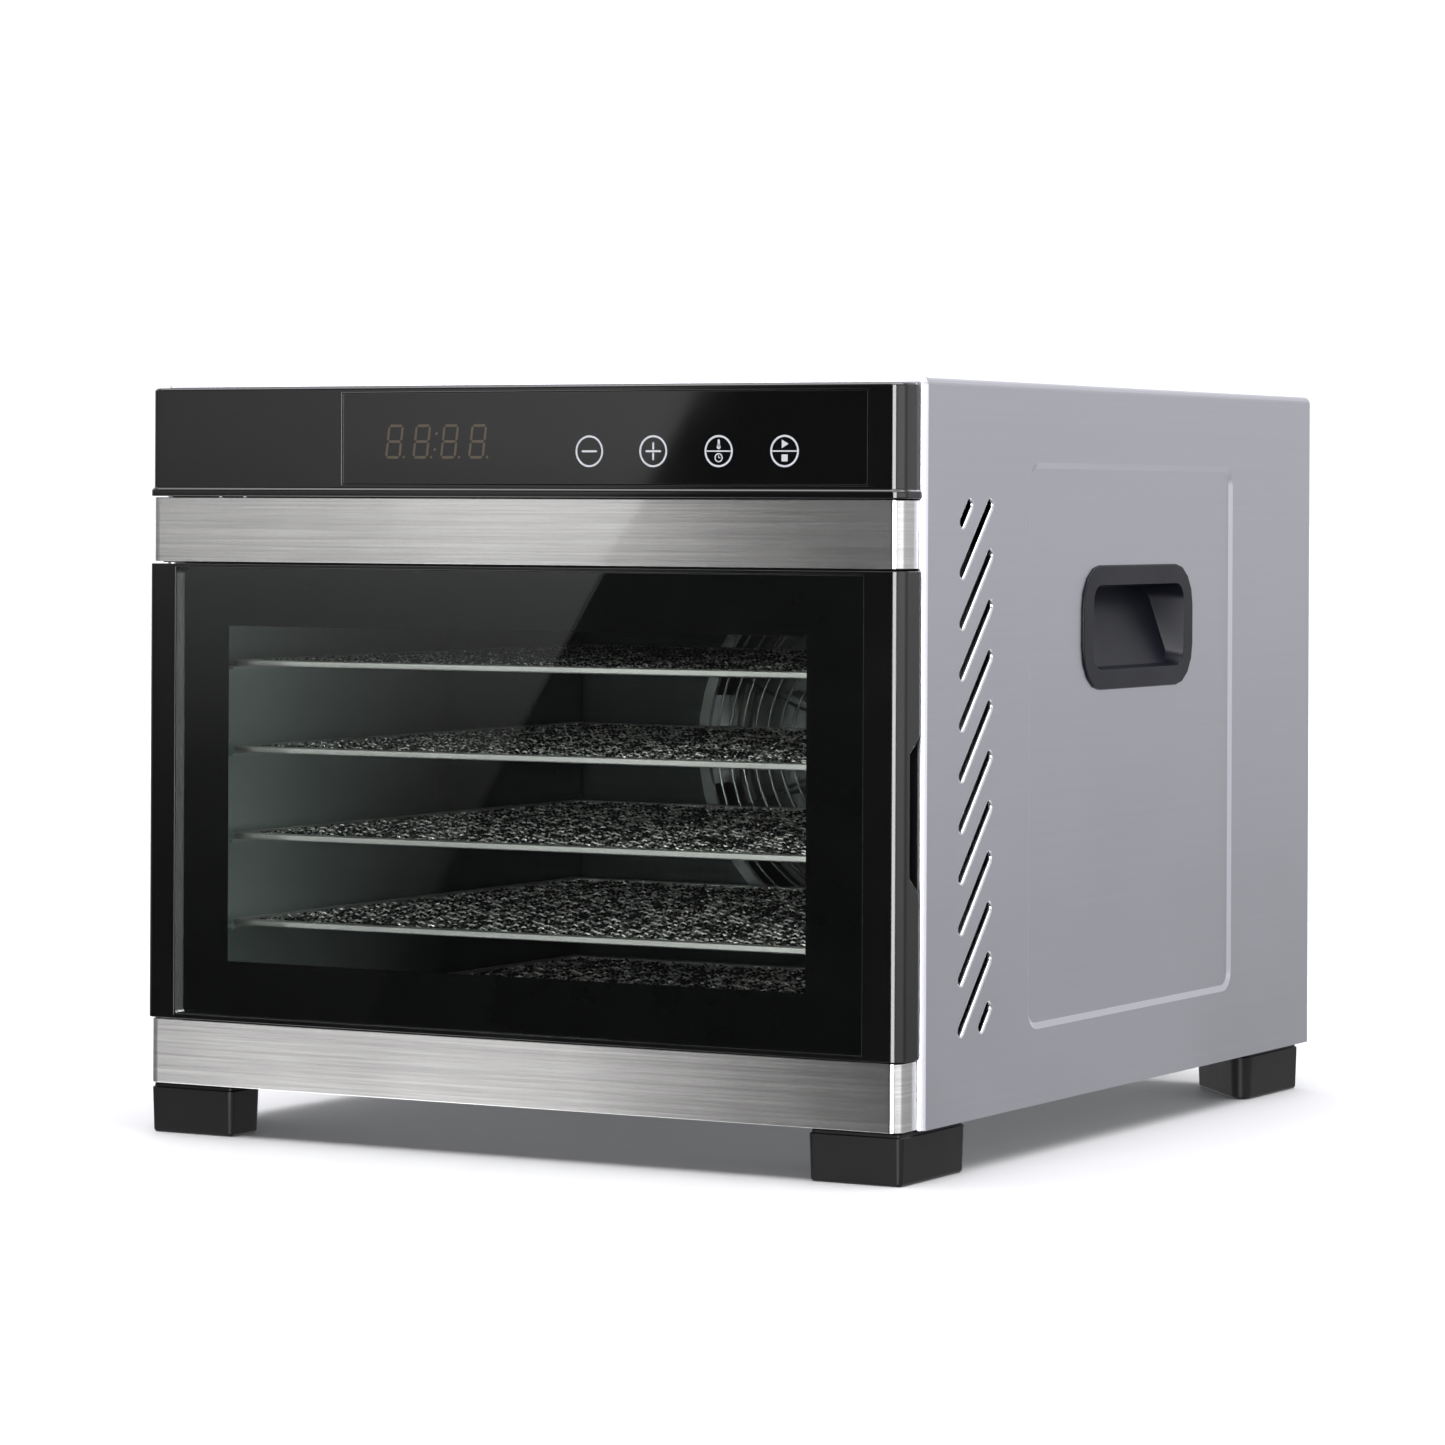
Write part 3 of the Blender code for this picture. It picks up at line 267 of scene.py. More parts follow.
def rectangle(low_x, high_x, low_z, high_z):
    return [(low_x, low_z), (high_x, low_z), (high_x, high_z), (low_x, high_z)]


def edge_lines(name, node, body, widths, material):
    """Ground edge of a pane, as lines on its face along the left, right, lower and upper edges."""
    low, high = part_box(node)
    left, right, lower, upper = widths
    front = low.y - 0.02 * MM
    outer = rectangle(low.x + 0.05 * MM, high.x - 0.05 * MM, low.z + 0.05 * MM, high.z - 0.05 * MM)
    inner = rectangle(low.x + left, high.x - right, low.z + lower, high.z - upper)
    bm = bmesh.new()
    slab(bm, outer, front, low.y + 0.1 * MM, inner)
    return piece(name, bm, material, body)


# ---------------------------------------------------------------------------------------------
# Trays
# ---------------------------------------------------------------------------------------------

WIRE_PITCH = 4.0 * MM
WIRE_RADIUS = 0.48 * MM
CRIMP = 0.85 * MM
WIRE_SIDES = 4


def add_tube(bm, path, radius, sides):
    """Tube along the path, open at its ends, with its rings across the path's own direction."""
    rings = []
    for i, here in enumerate(path):
        ahead = path[min(i + 1, len(path) - 1)] - path[max(i - 1, 0)]
        across = ahead.cross(Vector((0, 0, 1))).normalized()
        up = across.cross(ahead).normalized()
        ring = []
        for k in range(sides):
            turn = math.tau * (k + 0.5) / sides
            offset = across * (radius * math.cos(turn)) + up * (radius * math.sin(turn))
            ring.append(bm.verts.new(here + offset))
        rings.append(ring)
    for lower, upper in zip(rings, rings[1:]):
        for k in range(sides):
            j = (k + 1) % sides
            bm.faces.new((lower[k], lower[j], upper[j], upper[k]))


def woven_sheet(width, depth):
    """Plain weave of crimped wires, centred on its own origin."""
    bm = bmesh.new()
    columns, rows = round(width / WIRE_PITCH), round(depth / WIRE_PITCH)
    step = WIRE_PITCH / 2

    def crimp(position, index):
        """Height of a wire, with wires that vary a little in how deep and where they bend."""
        uneven = 1 + 0.3 * math.sin(2.4 * index) + 0.2 * math.sin(61 * position + index)
        slip = 0.25 * math.sin(1.7 * index)
        return CRIMP * uneven * math.cos(math.pi * position / WIRE_PITCH + math.pi * index + slip)

    for row in range(rows):
        y = (row - (rows - 1) / 2) * WIRE_PITCH
        count = int(width / step)
        xs = [(i - count / 2) * step for i in range(count + 1)]
        offset = (columns - 1) / 2 * WIRE_PITCH
        add_tube(bm, [Vector((x, y, crimp(x + offset, row))) for x in xs], WIRE_RADIUS, WIRE_SIDES)
    for column in range(columns):
        x = (column - (columns - 1) / 2) * WIRE_PITCH
        count = int(depth / step)
        ys = [(i - count / 2) * step for i in range(count + 1)]
        offset = (rows - 1) / 2 * WIRE_PITCH
        add_tube(bm, [Vector((x, y, -crimp(y + offset, column))) for y in ys], WIRE_RADIUS, WIRE_SIDES)
    return bm


def make_trays():
    recipe = Recipe("tray_wire_painted_glints", (1.0, 0.99, 0.96), 0.36, 1.0)
    # painted shade and painted glints: the wires go dark low in the weave's troughs and in noise patches,
    # leaving bright glint-like strokes between
    painted_trough_shade = recipe.spread(recipe.along("Z"), 1.0, 0.0, (0.0, 0.8 * CRIMP))
    painted_glint_pattern = recipe.spread(recipe.noise(260.0, 1.0, 0.5, (1, 0.35, 1)), 1.0, 0.0, (0.46, 0.53))
    painted_glints_and_shade = recipe.add("ShaderNodeMath", operation="MAXIMUM")
    recipe.links.new(painted_trough_shade, painted_glints_and_shade.inputs[0])
    recipe.links.new(painted_glint_pattern, painted_glints_and_shade.inputs[1])
    recipe.vary_colour(painted_glints_and_shade.outputs["Value"], (0.02, 0.021, 0.021))
    recipe.vary_roughness(recipe.noise(300.0), 0.03)
    recipe.bump(recipe.noise(900.0), 0.00002)
    wire = recipe.material
    rim = brushed_steel("tray_rim", (1.0, 0.98, 0.95), 0.34, "x", relief=0.000004).material
    low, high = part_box("tray_mesh_1")
    bm = woven_sheet(high.x - low.x, high.y - low.y)
    mesh = bpy.data.meshes.new("tray_weave")
    bm.to_mesh(mesh)
    bm.free()
    mesh.shade_smooth()
    mesh.materials.append(wire)
    for i in TRAYS:
        low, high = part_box(f"tray_mesh_{i}")
        weave = place(f"tray_weave_{i}", mesh, f"tray_{i}", (low + high) / 2)
        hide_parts(f"tray_mesh_{i}")
        dress(f"tray_frame_{i}", rim)
        soften(f"tray_frame_{i}", 0.6 * MM, 3)


# ---------------------------------------------------------------------------------------------
# Door
# ---------------------------------------------------------------------------------------------

WINDOW_X = (-132.8 * MM, 128.7 * MM)
WINDOW_Z = (70.4 * MM, 204.6 * MM)


def make_door(edge):
    gloss = moulded("door_plastic", (0.0022, 0.0022, 0.0025), 0.14, relief=0.000004, haze=0.03)
    dress("door_frame", gloss)
    soften("door_frame", 0.5 * MM, 3)
    dress("door_glass", clear_pane("door_pane", (0.955, 0.975, 0.965)))
    dress("door_seal", moulded("seal_silicone", (0.05, 0.05, 0.05), 0.6))
    pin = brushed_steel("pin_steel", (0.6, 0.6, 0.6), 0.25, "z").material
    zinc = brushed_steel("zinc_steel", (0.46, 0.47, 0.48), 0.4, "z", relief=0.00002).material
    ferrite = moulded("ferrite", (0.04, 0.04, 0.04), 0.55)
    for name in ("upper", "lower"):
        dress(f"hinge_pin_{name}", pin)
        dress(f"strike_plate_{name}", zinc)
        dress(f"hinge_bracket_{name}", zinc)
        dress(f"magnet_{name}", ferrite)
    make_print()
    thin = (0.12 * MM, 0.12 * MM, 0.14 * MM, 0.12 * MM)
    edge_lines("door_glass_edge", "door_glass", "door", thin, edge)


def make_print():
    """Black printed border on the rear of the pane, leaving the window clear."""
    low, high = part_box("door_glass")
    outer = rectangle(low.x, high.x, low.z, high.z)
    inner = rectangle(*WINDOW_X, *WINDOW_Z)
    bm = bmesh.new()
    slab(bm, outer, high.y + 0.03 * MM, high.y + 0.18 * MM, inner)
    recipe = Recipe("print_black", (0.0012, 0.0012, 0.0014), 0.3)
    recipe.shader.inputs["Specular IOR Level"].default_value = 0.08
    recipe.vary_roughness(recipe.noise(40.0), 0.04)
    recipe.bump(recipe.noise(900.0), 0.000003)
    piece("door_glass_print", bm, recipe.material, "door")


# ---------------------------------------------------------------------------------------------
# Control panel prints
# ---------------------------------------------------------------------------------------------

KEY_X = (35.3 * MM, 63.5 * MM, 92.0 * MM, 120.3 * MM)
KEY_Z = 274.2 * MM
KEY_RADIUS = 6.1 * MM
LINE = 0.75 * MM
PRINT_THICKNESS = 0.06 * MM

DIGIT_X = (-53.2 * MM, -40.6 * MM, -27.8 * MM, -15.0 * MM)
DIGIT_Z = 278.1 * MM
DIGIT_SIZE = (7.2 * MM, 13.4 * MM)
SEGMENT = 1.05 * MM
SLANT = math.tan(math.radians(7))


def bar(x, z, length, width, turn=0.0):
    """Bar with pointed ends, as an outline of six points round (x, z)."""
    half, side = length / 2, width / 2
    flank = half - side
    outline = [(-half, 0), (-flank, side), (flank, side), (half, 0), (flank, -side), (-flank, -side)]
    cos, sin = math.cos(turn), math.sin(turn)
    return [(x + a * cos - b * sin, z + a * sin + b * cos) for a, b in outline]


def key_symbols(bm, front, back):
    """Rings with a minus, a plus, a thermometer over a clock, and a start arrow over a stop square."""

    def draw(outer, inner=None):
        slab(bm, outer, front, back, inner)

    for x in KEY_X:
        draw(circle(x, KEY_Z, KEY_RADIUS), circle(x, KEY_Z, KEY_RADIUS - LINE))
    minus, plus, setting, run = KEY_X
    upright = math.pi / 2
    draw(bar(minus, KEY_Z, 7.0 * MM, LINE))
    draw(bar(plus, KEY_Z, 7.0 * MM, LINE))
    for side in (-1, 1):
        draw(bar(plus, KEY_Z + side * 2.0 * MM, 3.1 * MM, LINE, upright))
    for x in (setting, run):
        draw(bar(x, KEY_Z, 2 * (KEY_RADIUS - LINE), 0.5 * MM))
    draw(bar(setting, KEY_Z + 3.1 * MM, 3.0 * MM, 0.9 * MM, upright))
    draw(circle(setting, KEY_Z + 1.6 * MM, 0.85 * MM, 20))
    draw(circle(setting, KEY_Z - 2.5 * MM, 1.75 * MM, 28), circle(setting, KEY_Z - 2.5 * MM, 1.3 * MM, 28))
    draw(bar(setting, KEY_Z - 2.05 * MM, 1.0 * MM, 0.35 * MM, upright))
    draw(bar(setting + 0.42 * MM, KEY_Z - 2.5 * MM, 0.9 * MM, 0.35 * MM))
    tail, tip = run - 1.2 * MM, run + 1.7 * MM
    draw([(tail, KEY_Z + 1.1 * MM), (tip, KEY_Z + 2.7 * MM), (tail, KEY_Z + 4.3 * MM)])
    draw(rectangle(run - 1.3 * MM, run + 1.3 * MM, KEY_Z - 3.9 * MM, KEY_Z - 1.3 * MM))


def digit_segments(bm, front, back):
    """Four unlit seven-segment digits with their points and a colon, slanted as one."""
    width, height = DIGIT_SIZE
    half, across = height / 2, (width - SEGMENT) / 2
    upright = math.pi / 2

    def draw(outline):
        slab(bm, [(x + (z - DIGIT_Z) * SLANT, z) for x, z in outline], front, back)

    for x in DIGIT_X:
        for row in (-1, 0, 1):
            draw(bar(x, DIGIT_Z + row * (half - SEGMENT / 2), width - 1.4 * SEGMENT, SEGMENT))
        for side in (-1, 1):
            for row in (-0.5, 0.5):
                centre = DIGIT_Z + row * (half - SEGMENT / 2)
                draw(bar(x + side * across, centre, half - SEGMENT, SEGMENT, upright))
        draw(circle(x + width / 2 + 1.5 * MM, DIGIT_Z - half + 0.6 * MM, 0.55 * MM, 14))
    colon = (DIGIT_X[1] + DIGIT_X[2]) / 2
    for row in (-1, 1):
        draw(circle(colon, DIGIT_Z + row * 3.1 * MM, 0.6 * MM, 14))


def make_prints(edge):
    """Key symbols, the unlit display and the ground edge of the control overlay."""
    low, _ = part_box("control_overlay")
    front, back = low.y - PRINT_THICKNESS, low.y + 0.1 * MM
    white = Recipe("key_white", (0.62, 0.64, 0.67), 0.35)
    white.vary_colour(white.noise(300.0), (0.52, 0.54, 0.57))
    white.bump(white.noise(3000.0), 0.000004)
    bm = bmesh.new()
    key_symbols(bm, front, back)
    piece("key_symbols", bm, white.material, "cabinet")
    amber = Recipe("segment_amber", (0.078, 0.060, 0.038), 0.07)
    amber.vary_colour(amber.noise(200.0), (0.064, 0.050, 0.032))
    amber.vary_roughness(amber.noise(60.0), 0.02)
    bm = bmesh.new()
    digit_segments(bm, low.y - 0.01 * MM, back)
    piece("display_segments", bm, amber.material, "cabinet")
    widths = (0.6 * MM, 0.16 * MM, 0.1 * MM, 0.1 * MM)
    edge_lines("control_overlay_edge", "control_overlay", "cabinet", widths, edge)


# ---------------------------------------------------------------------------------------------
# Cabinet
# ---------------------------------------------------------------------------------------------

# painted shade: the liner's colour darkens towards the back of the cavity, where less light reaches
LINER_PAINTED_SHADE = (-0.20, -0.02)  # places along y between which the liner goes from bright to dark


def band_steel():
    """Level-brushed steel that blurs reflections upright and keeps a faint sharp image."""
    colour = (0.72, 0.71, 0.695)
    recipe = brushed_steel("band_steel", colour, 0.21, "level", fine=3300.0, relief=0.00001, streak=0.13)
    recipe.brush(0.99)
    recipe.shader.inputs["Coat Weight"].default_value = 1.0
    recipe.shader.inputs["Coat Roughness"].default_value = 0.03
    recipe.shader.inputs["Coat IOR"].default_value = 2.2
    return recipe.material


def make_shell():
    colour = (0.60, 0.60, 0.655)
    wrap = brushed_steel("wrap_steel", colour, 0.32, "y", fine=1500.0, relief=0.000003, streak=0.012)
    zinc = brushed_steel("rear_steel", (0.50, 0.51, 0.52), 0.38, "z", relief=0.00001).material
    liner = brushed_steel("liner_steel_painted_shade", (0.84, 0.95, 0.93), 0.34, "z", fine=500, relief=0.00001)
    liner.shader.inputs["Metallic"].default_value = 0.45
    # painted shade: bright steel at the front of the cavity, near-black steel at the back
    liner.vary_colour(liner.spread(liner.along("Y"), 0.0, 1.0, LINER_PAINTED_SHADE), (0.045, 0.055, 0.055))
    # painted shade: the back baffle gets the near-black colour that the liner's painted shade reaches at the
    # back
    baffle = brushed_steel("baffle_painted_shade", (0.05, 0.055, 0.055), 0.34, "z", fine=500, relief=0.00001).material
    guard = brushed_steel("guard_steel", (0.26, 0.27, 0.27), 0.38, "z", relief=0.00001).material
    band = band_steel()
    black = moulded("satin_black", (0.006, 0.006, 0.007), 0.32)
    dress("outer_wrap", wrap.material)
    soften("outer_wrap", 0.3 * MM, 2, 14)
    for node in ("upper_trim_band", "lower_trim_band"):
        dress(node, band)
        soften(node, 0.25 * MM, 2, 50)
    for node in ("base_pan", "rear_panel", "motor_bracket"):
        dress(node, zinc)
    dress("fan_impeller", guard)
    for node in ("cavity_liner", "tray_rack_left", "tray_rack_right"):
        dress(node, liner.material)
    dress("back_baffle", baffle)
    for node in ("fan_ring", "fan_guard", "temperature_probe", "motor_shaft"):
        dress(node, guard)
    for node in ("front_frame", "rear_fan_cover", "power_inlet"):
        dress(node, black)
    dress("control_panel", moulded("panel_gloss", (0.0020, 0.0020, 0.0023), 0.10, relief=0.000003, haze=0.02))
    soften("control_panel", 0.4 * MM, 3)
    soften("rear_fan_cover", 0.5 * MM)
    grey = moulded("handle_plastic", (0.0050, 0.0056, 0.0105), 0.38, sheen=0.22)
    for side_name in ("left", "right"):
        dress(f"{side_name}_handle", grey)
        soften(f"{side_name}_handle", 0.6 * MM, 3)
    rubber = moulded("foot_rubber", (0.0036, 0.0036, 0.0040), 0.5, sheen=0.22)
    for row in ("front", "rear"):
        for side_name in ("left", "right"):
            dress(f"foot_{row}_{side_name}", rubber)
            soften(f"foot_{row}_{side_name}", 0.5 * MM, 2, 40)
    overlay = moulded("overlay_gloss", (0.0018, 0.0018, 0.0021), 0.05, relief=0.000001, haze=0.01)
    dress("control_overlay", overlay)


SLOT_ENDS = (46.9 * MM, 71.1 * MM)  # depths of a slot's ends behind the door's front
SLOT_RISE = 26.1 * MM
SLOT_TOP = 254.5 * MM
SLOT_PITCH = 19.3 * MM
SLOT_COUNT = 10
SLOT_WIDTH = 5.6 * MM
SHORT_SLOT = 0.36  # length of the short end slots, of the pitch
RIM_RADIUS = 0.95 * MM
RIM_SIDES = 8


def slot_outline(start, end, width, steps=6):
    """Outline of a slot with round ends between two (y, z) points."""
    heading = math.atan2(end[1] - start[1], end[0] - start[0])
    points = []
    for (y, z), turn in ((end, heading - math.pi / 2), (start, heading + math.pi / 2)):
        for i in range(steps + 1):
            angle = turn + math.pi * i / steps
            points.append((y + width / 2 * math.cos(angle), z + width / 2 * math.sin(angle)))
    return points


def slot_rims(side):
    """Rolled rims round the vent slots of one side of the wrap."""
    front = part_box("control_panel")[0].y
    low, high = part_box("outer_wrap")
    face = (high.x if side > 0 else low.x) - side * RIM_RADIUS
    (near, far), rise = SLOT_ENDS, SLOT_RISE
    short = SLOT_PITCH * SHORT_SLOT
    run = short * (far - near) / rise
    tops = [SLOT_TOP - SLOT_PITCH * i for i in range(SLOT_COUNT)]
    ends = [((near, top - rise), (far, top)) for top in tops]
    bottom = SLOT_TOP - SLOT_PITCH * (SLOT_COUNT - 1) - rise
    ends.append(((near, SLOT_TOP - short), (near + run, SLOT_TOP)))
    ends.append(((far - run, bottom), (far, bottom + short)))
    bm = bmesh.new()
    for start, end in ends:
        outline = slot_outline(start, end, SLOT_WIDTH + 0.1 * RIM_RADIUS)
        rings = []
        for i, (y, z) in enumerate(outline):
            (y0, z0), (y1, z1) = outline[i - 1], outline[(i + 1) % len(outline)]
            out_y, out_z = z1 - z0, y0 - y1
            length = math.hypot(out_y, out_z)
            ring = []
            for k in range(RIM_SIDES):
                angle = math.tau * k / RIM_SIDES
                reach = RIM_RADIUS * math.cos(angle) / length
                x = face + side * RIM_RADIUS * math.sin(angle)
                ring.append(bm.verts.new((x, front + y + out_y * reach, z + out_z * reach)))
            rings.append(ring)
        for here, after in zip(rings, [*rings[1:], rings[0]]):
            for k in range(RIM_SIDES):
                j = (k + 1) % RIM_SIDES
                bm.faces.new((here[k], here[j], after[j], after[k]))
    bmesh.ops.recalc_face_normals(bm, faces=bm.faces)
    return bm


def screw_heads(places, radius):
    """Pan heads with a cross recess, standing on (x, y, z) places of rear-facing planes."""
    bm = bmesh.new()
    height, arm, half = 0.5 * radius, 0.55 * radius, 0.12 * radius
    steps = 24
    for x, y, z in places:
        profile = ((1.0, 0.0), (0.97, 0.35), (0.85, 0.72), (0.66, 1.0))
        rings = [
            [bm.verts.new((px, y + height * rise, pz)) for px, pz in circle(x, z, radius * size, steps)]
            for size, rise in profile
        ]
        for lower, upper in zip(rings, rings[1:]):
            for k in range(steps):
                j = (k + 1) % steps
                bm.faces.new((lower[k], lower[j], upper[j], upper[k]))
        quarter = [(arm, -half), (arm, half), (half, half)]
        cross = []
        for turn in range(4):
            cos, sin = round(math.cos(turn * math.pi / 2)), round(math.sin(turn * math.pi / 2))
            cross += [(x + a * cos - b * sin, z + a * sin + b * cos) for a, b in quarter]
        edge = [bm.verts.new((px, y + height, pz)) for px, pz in cross]
        floor = [bm.verts.new((px, y + 0.35 * height, pz)) for px, pz in cross]
        loops = []
        for loop in (rings[-1], edge):
            for k, vertex in enumerate(loop):
                after = loop[(k + 1) % len(loop)]
                loops.append(bm.edges.get((vertex, after)) or bm.edges.new((vertex, after)))
        bmesh.ops.triangle_fill(bm, edges=loops, use_beauty=True)
        for k in range(len(cross)):
            j = (k + 1) % len(cross)
            bm.faces.new((edge[k], edge[j], floor[j], floor[k]))
        bm.faces.new(floor)
        bm.faces.new(rings[0])
    bmesh.ops.recalc_face_normals(bm, faces=bm.faces)
    return bm


GUARD_PITCH = 6.2 * MM
GUARD_WIRE = 0.7 * MM


def fan_wires():
    """Round-wire guard over the fan: rings on eight spokes."""
    low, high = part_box("fan_guard")
    centre, reach = (low + high) / 2, (high.x - low.x) / 2
    pitch, wire = GUARD_PITCH, GUARD_WIRE
    bm = bmesh.new()
    steps = 56
    up = Vector((0, 1, 0))

    def tube(points, closed):
        rings = []
        for i, here in enumerate(points):
            if closed:
                ahead = points[(i + 1) % len(points)] - points[i - 1]
            else:
                ahead = points[-1] - points[0]
            across = ahead.cross(up).normalized()
            turns = [math.tau * k / 6 for k in range(6)]
            reaches = [(across * math.cos(turn) + up * math.sin(turn)) * wire for turn in turns]
            rings.append([bm.verts.new(here + reach) for reach in reaches])
        for here, after in zip(rings, [*rings[1:], rings[0]] if closed else rings[1:]):
            for k in range(6):
                j = (k + 1) % 6
                bm.faces.new((here[k], here[j], after[j], after[k]))
        if not closed:
            bm.faces.new(rings[0])
            bm.faces.new(rings[-1])

    for i in range(int(reach / pitch)):
        radius = reach - wire - i * pitch
        if radius < 2 * wire:
            break
        tube([Vector((x, centre.y, z)) for x, z in circle(centre.x, centre.z, radius, steps)], True)
    for i in range(4):
        angle = math.pi * (i + 0.5) / 4
        arm = Vector((math.cos(angle), 0, math.sin(angle))) * (reach - wire)
        behind = Vector((centre.x, centre.y + 1.7 * wire, centre.z))
        tube([behind - arm, behind + arm], False)
    bmesh.ops.recalc_face_normals(bm, faces=bm.faces)
    return bm


PANEL_SCREW_INSET, PANEL_SCREW_RADIUS = 7.0 * MM, 3.2 * MM
INLET_SCREW_INSET, INLET_SCREW_RADIUS = 2.6 * MM, 1.6 * MM
COVER_SCREW_INSET, COVER_SCREW_RADIUS = 20.0 * MM, 2.6 * MM
COVER_SCREW_SUNK = 1.4 * MM  # keeps the heads within the cover's own depth


def make_fittings():
    """Rolled slot rims, screw heads on the rear and the fan's wire guard."""
    bright = (0.80, 0.80, 0.82)
    polished = brushed_steel("rim_steel", bright, 0.16, "z", relief=0.000002, streak=0.01).material
    for name, side in (("left", -1), ("right", 1)):
        rims = piece(f"{name}_slot_rims", slot_rims(side), polished, "cabinet", smooth=True)
    dull = brushed_steel("guard_wire", (0.34, 0.35, 0.35), 0.3, "z", relief=0.000002).material
    guard = piece("fan_wire_guard", fan_wires(), dull, "cabinet", smooth=True)
    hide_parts("fan_guard")
    screw = brushed_steel("screw_zinc", (0.58, 0.59, 0.60), 0.3, "z", relief=0.00001).material
    low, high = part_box("rear_panel")
    columns = (low.x + PANEL_SCREW_INSET, 0.0, high.x - PANEL_SCREW_INSET)
    rows = (low.z + PANEL_SCREW_INSET, high.z - PANEL_SCREW_INSET)
    places = [(x, high.y, z) for x in columns for z in rows]
    places += [(x, high.y, (low.z + high.z) / 2) for x in (columns[0], columns[-1])]
    heads = screw_heads(places, PANEL_SCREW_RADIUS)
    piece("rear_panel_screws", heads, screw, "cabinet")
    low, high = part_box("power_inlet")
    middle = (low.z + high.z) / 2
    places = [(x, high.y, middle) for x in (low.x + INLET_SCREW_INSET, high.x - INLET_SCREW_INSET)]
    heads = screw_heads(places, INLET_SCREW_RADIUS)
    piece("inlet_screws", heads, screw, "cabinet")
    low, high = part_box("rear_fan_cover")
    columns = (low.x + COVER_SCREW_INSET, high.x - COVER_SCREW_INSET)
    rows = (low.z + COVER_SCREW_INSET, high.z - COVER_SCREW_INSET)
    places = [(x, high.y - COVER_SCREW_SUNK, z) for x in columns for z in rows]
    heads = screw_heads(places, COVER_SCREW_RADIUS)
    piece("fan_cover_screws", heads, screw, "cabinet")


def make_insides():
    dress("display_module", moulded("display_black", (0.01, 0.01, 0.01), 0.15))
    board = moulded("board_green", (0.02, 0.10, 0.04), 0.4)
    dress("control_board", board)
    dress("power_board", board)
    core = brushed_steel("core_steel", (0.24, 0.24, 0.25), 0.45, "z", fine=2500.0, relief=0.00006).material
    dress("motor_stator", core)
    dress("motor_rotor", core)
    dress("motor_coil", brushed_steel("coil_copper", (0.55, 0.24, 0.10), 0.35, "y", relief=0.0001).material)
    dress("heater_element", brushed_steel("heater_steel", (0.26, 0.25, 0.24), 0.4, "z").material)
    dress("thermal_cutout", moulded("cutout_black", (0.03, 0.03, 0.03), 0.5))


# ---------------------------------------------------------------------------------------------
# Studio
# ---------------------------------------------------------------------------------------------

# Camera fitted to edges in the photo: its place in metres, its turn in degrees, and its lens and
# sensor in millimetres.
CAMERA_PLACE = (1.0321, -1.92555, 0.25415)
CAMERA_TURN = (90.0, -0.2516, 28.7789)
CAMERA_LENS = 128.254
CAMERA_SENSOR = 36
CAMERA_SHIFT = -0.15117

CARD_DISTANCE = 1.38
CARD_LEFT = -4.5
CARD_SPAN = (-0.05, 1.4)  # heights on the front's plane at which the ends of its slanted edge are mirrored
SOFTBOX_DISTANCE = 3.0
# Brightness of the front card against height.
CARD_GLOW = (
    (-0.30, 0.04), (-0.07, 0.06), (0.066, 0.14), (0.197, 0.55), (0.297, 1.25), (0.38, 1.3),
    (0.55, 0.4), (1.0, 0.2), (2.4, 0.2),
)
# Brightness against the direction in degrees, where 0 is ahead of the door and 90 is the object's right.
# The horizon goes by the compass, and the sky and the ground by the sideways part of the direction.
HORIZON = (
    (-180, 1.2), (-130, 1.1), (-105, 0.6), (-78, 0.06), (-15, 0.04), (2, 0.3), (20, 0.9), (45, 2.3),
    (92, 2.3), (118, 0.8), (150, 0.70), (154, 0.68), (159, 0.58), (166, 0.7), (173, 1.1), (180, 1.2),
)
SKY = (
    (-180, 0.8), (-130, 0.8), (-85, 1.2), (-50, 1.6), (-37, 2.2), (-35.4, 3.2), (-33.9, 5.9), (-32.6, 4.6),
    (-31.2, 2.4), (-30, 1.2), (-28.8, 0.5), (-27.5, 0.2), (-26, 0.06), (40, 0.3), (80, 0.9), (180, 0.8),
)
GROUND = (
    (-180, 0.9), (-90, 0.8), (-50, 1.2), (-37, 1.6), (-34.8, 2.4), (-33.2, 5.4), (-31.6, 5.2), (-30.2, 3.0),
    (-29, 1.4), (-28, 0.5), (-26.8, 0.15), (-25, 0.08), (90, 0.5), (180, 0.9),
)
ZENITH = 6.0
# Upward part of the direction at which the sky, the ground and the zenith start and take over.
TAKE_OVER = ((0.08, 0.30), (-0.135, -0.30), (0.72, 0.92))
# How the horizon dims below level, by the upward part, and the front card to its left, by x.
HORIZON_FADE = (("From Min", -0.17), ("From Max", 0.0), ("To Min", 0.32), ("To Max", 1.0))
CARD_FADE = (("From Min", -1.25), ("From Max", -0.68), ("To Min", 0.5), ("To Max", 1.0))
WORLD_COLOUR = (0.98, 0.98, 1.0, 1)
# Where the slanted edge of the mirrored patch crosses the front, near its top and its foot, as (x, z).
PATCH_UPPER = (84.2 * MM, 299.7 * MM)
PATCH_LOWER = (-74.5 * MM, 36.3 * MM)


def make_camera():
    data = bpy.data.cameras.new("camera")
    data.lens = CAMERA_LENS
    data.sensor_width = CAMERA_SENSOR
    data.shift_y = CAMERA_SHIFT
    data.clip_end = 100
    camera = bpy.data.objects.new("camera", data)
    camera.location = CAMERA_PLACE
    camera.rotation_euler = [math.radians(turn) for turn in CAMERA_TURN]
    bpy.context.scene.collection.objects.link(camera)
    bpy.context.scene.camera = camera


def make_floor():
    bm = bmesh.new()
    bmesh.ops.create_grid(bm, x_segments=1, y_segments=1, size=60)
    mesh = bpy.data.meshes.new("floor")
    bm.to_mesh(mesh)
    bm.free()
    recipe = Recipe("floor_white", (0.56, 0.56, 0.565), 0.6)
    recipe.shader.inputs["Specular IOR Level"].default_value = 0.1
    mesh.materials.append(recipe.material)
    floor = bpy.data.objects.new("floor", mesh)
    floor.visible_glossy = False
    bpy.context.scene.collection.objects.link(floor)


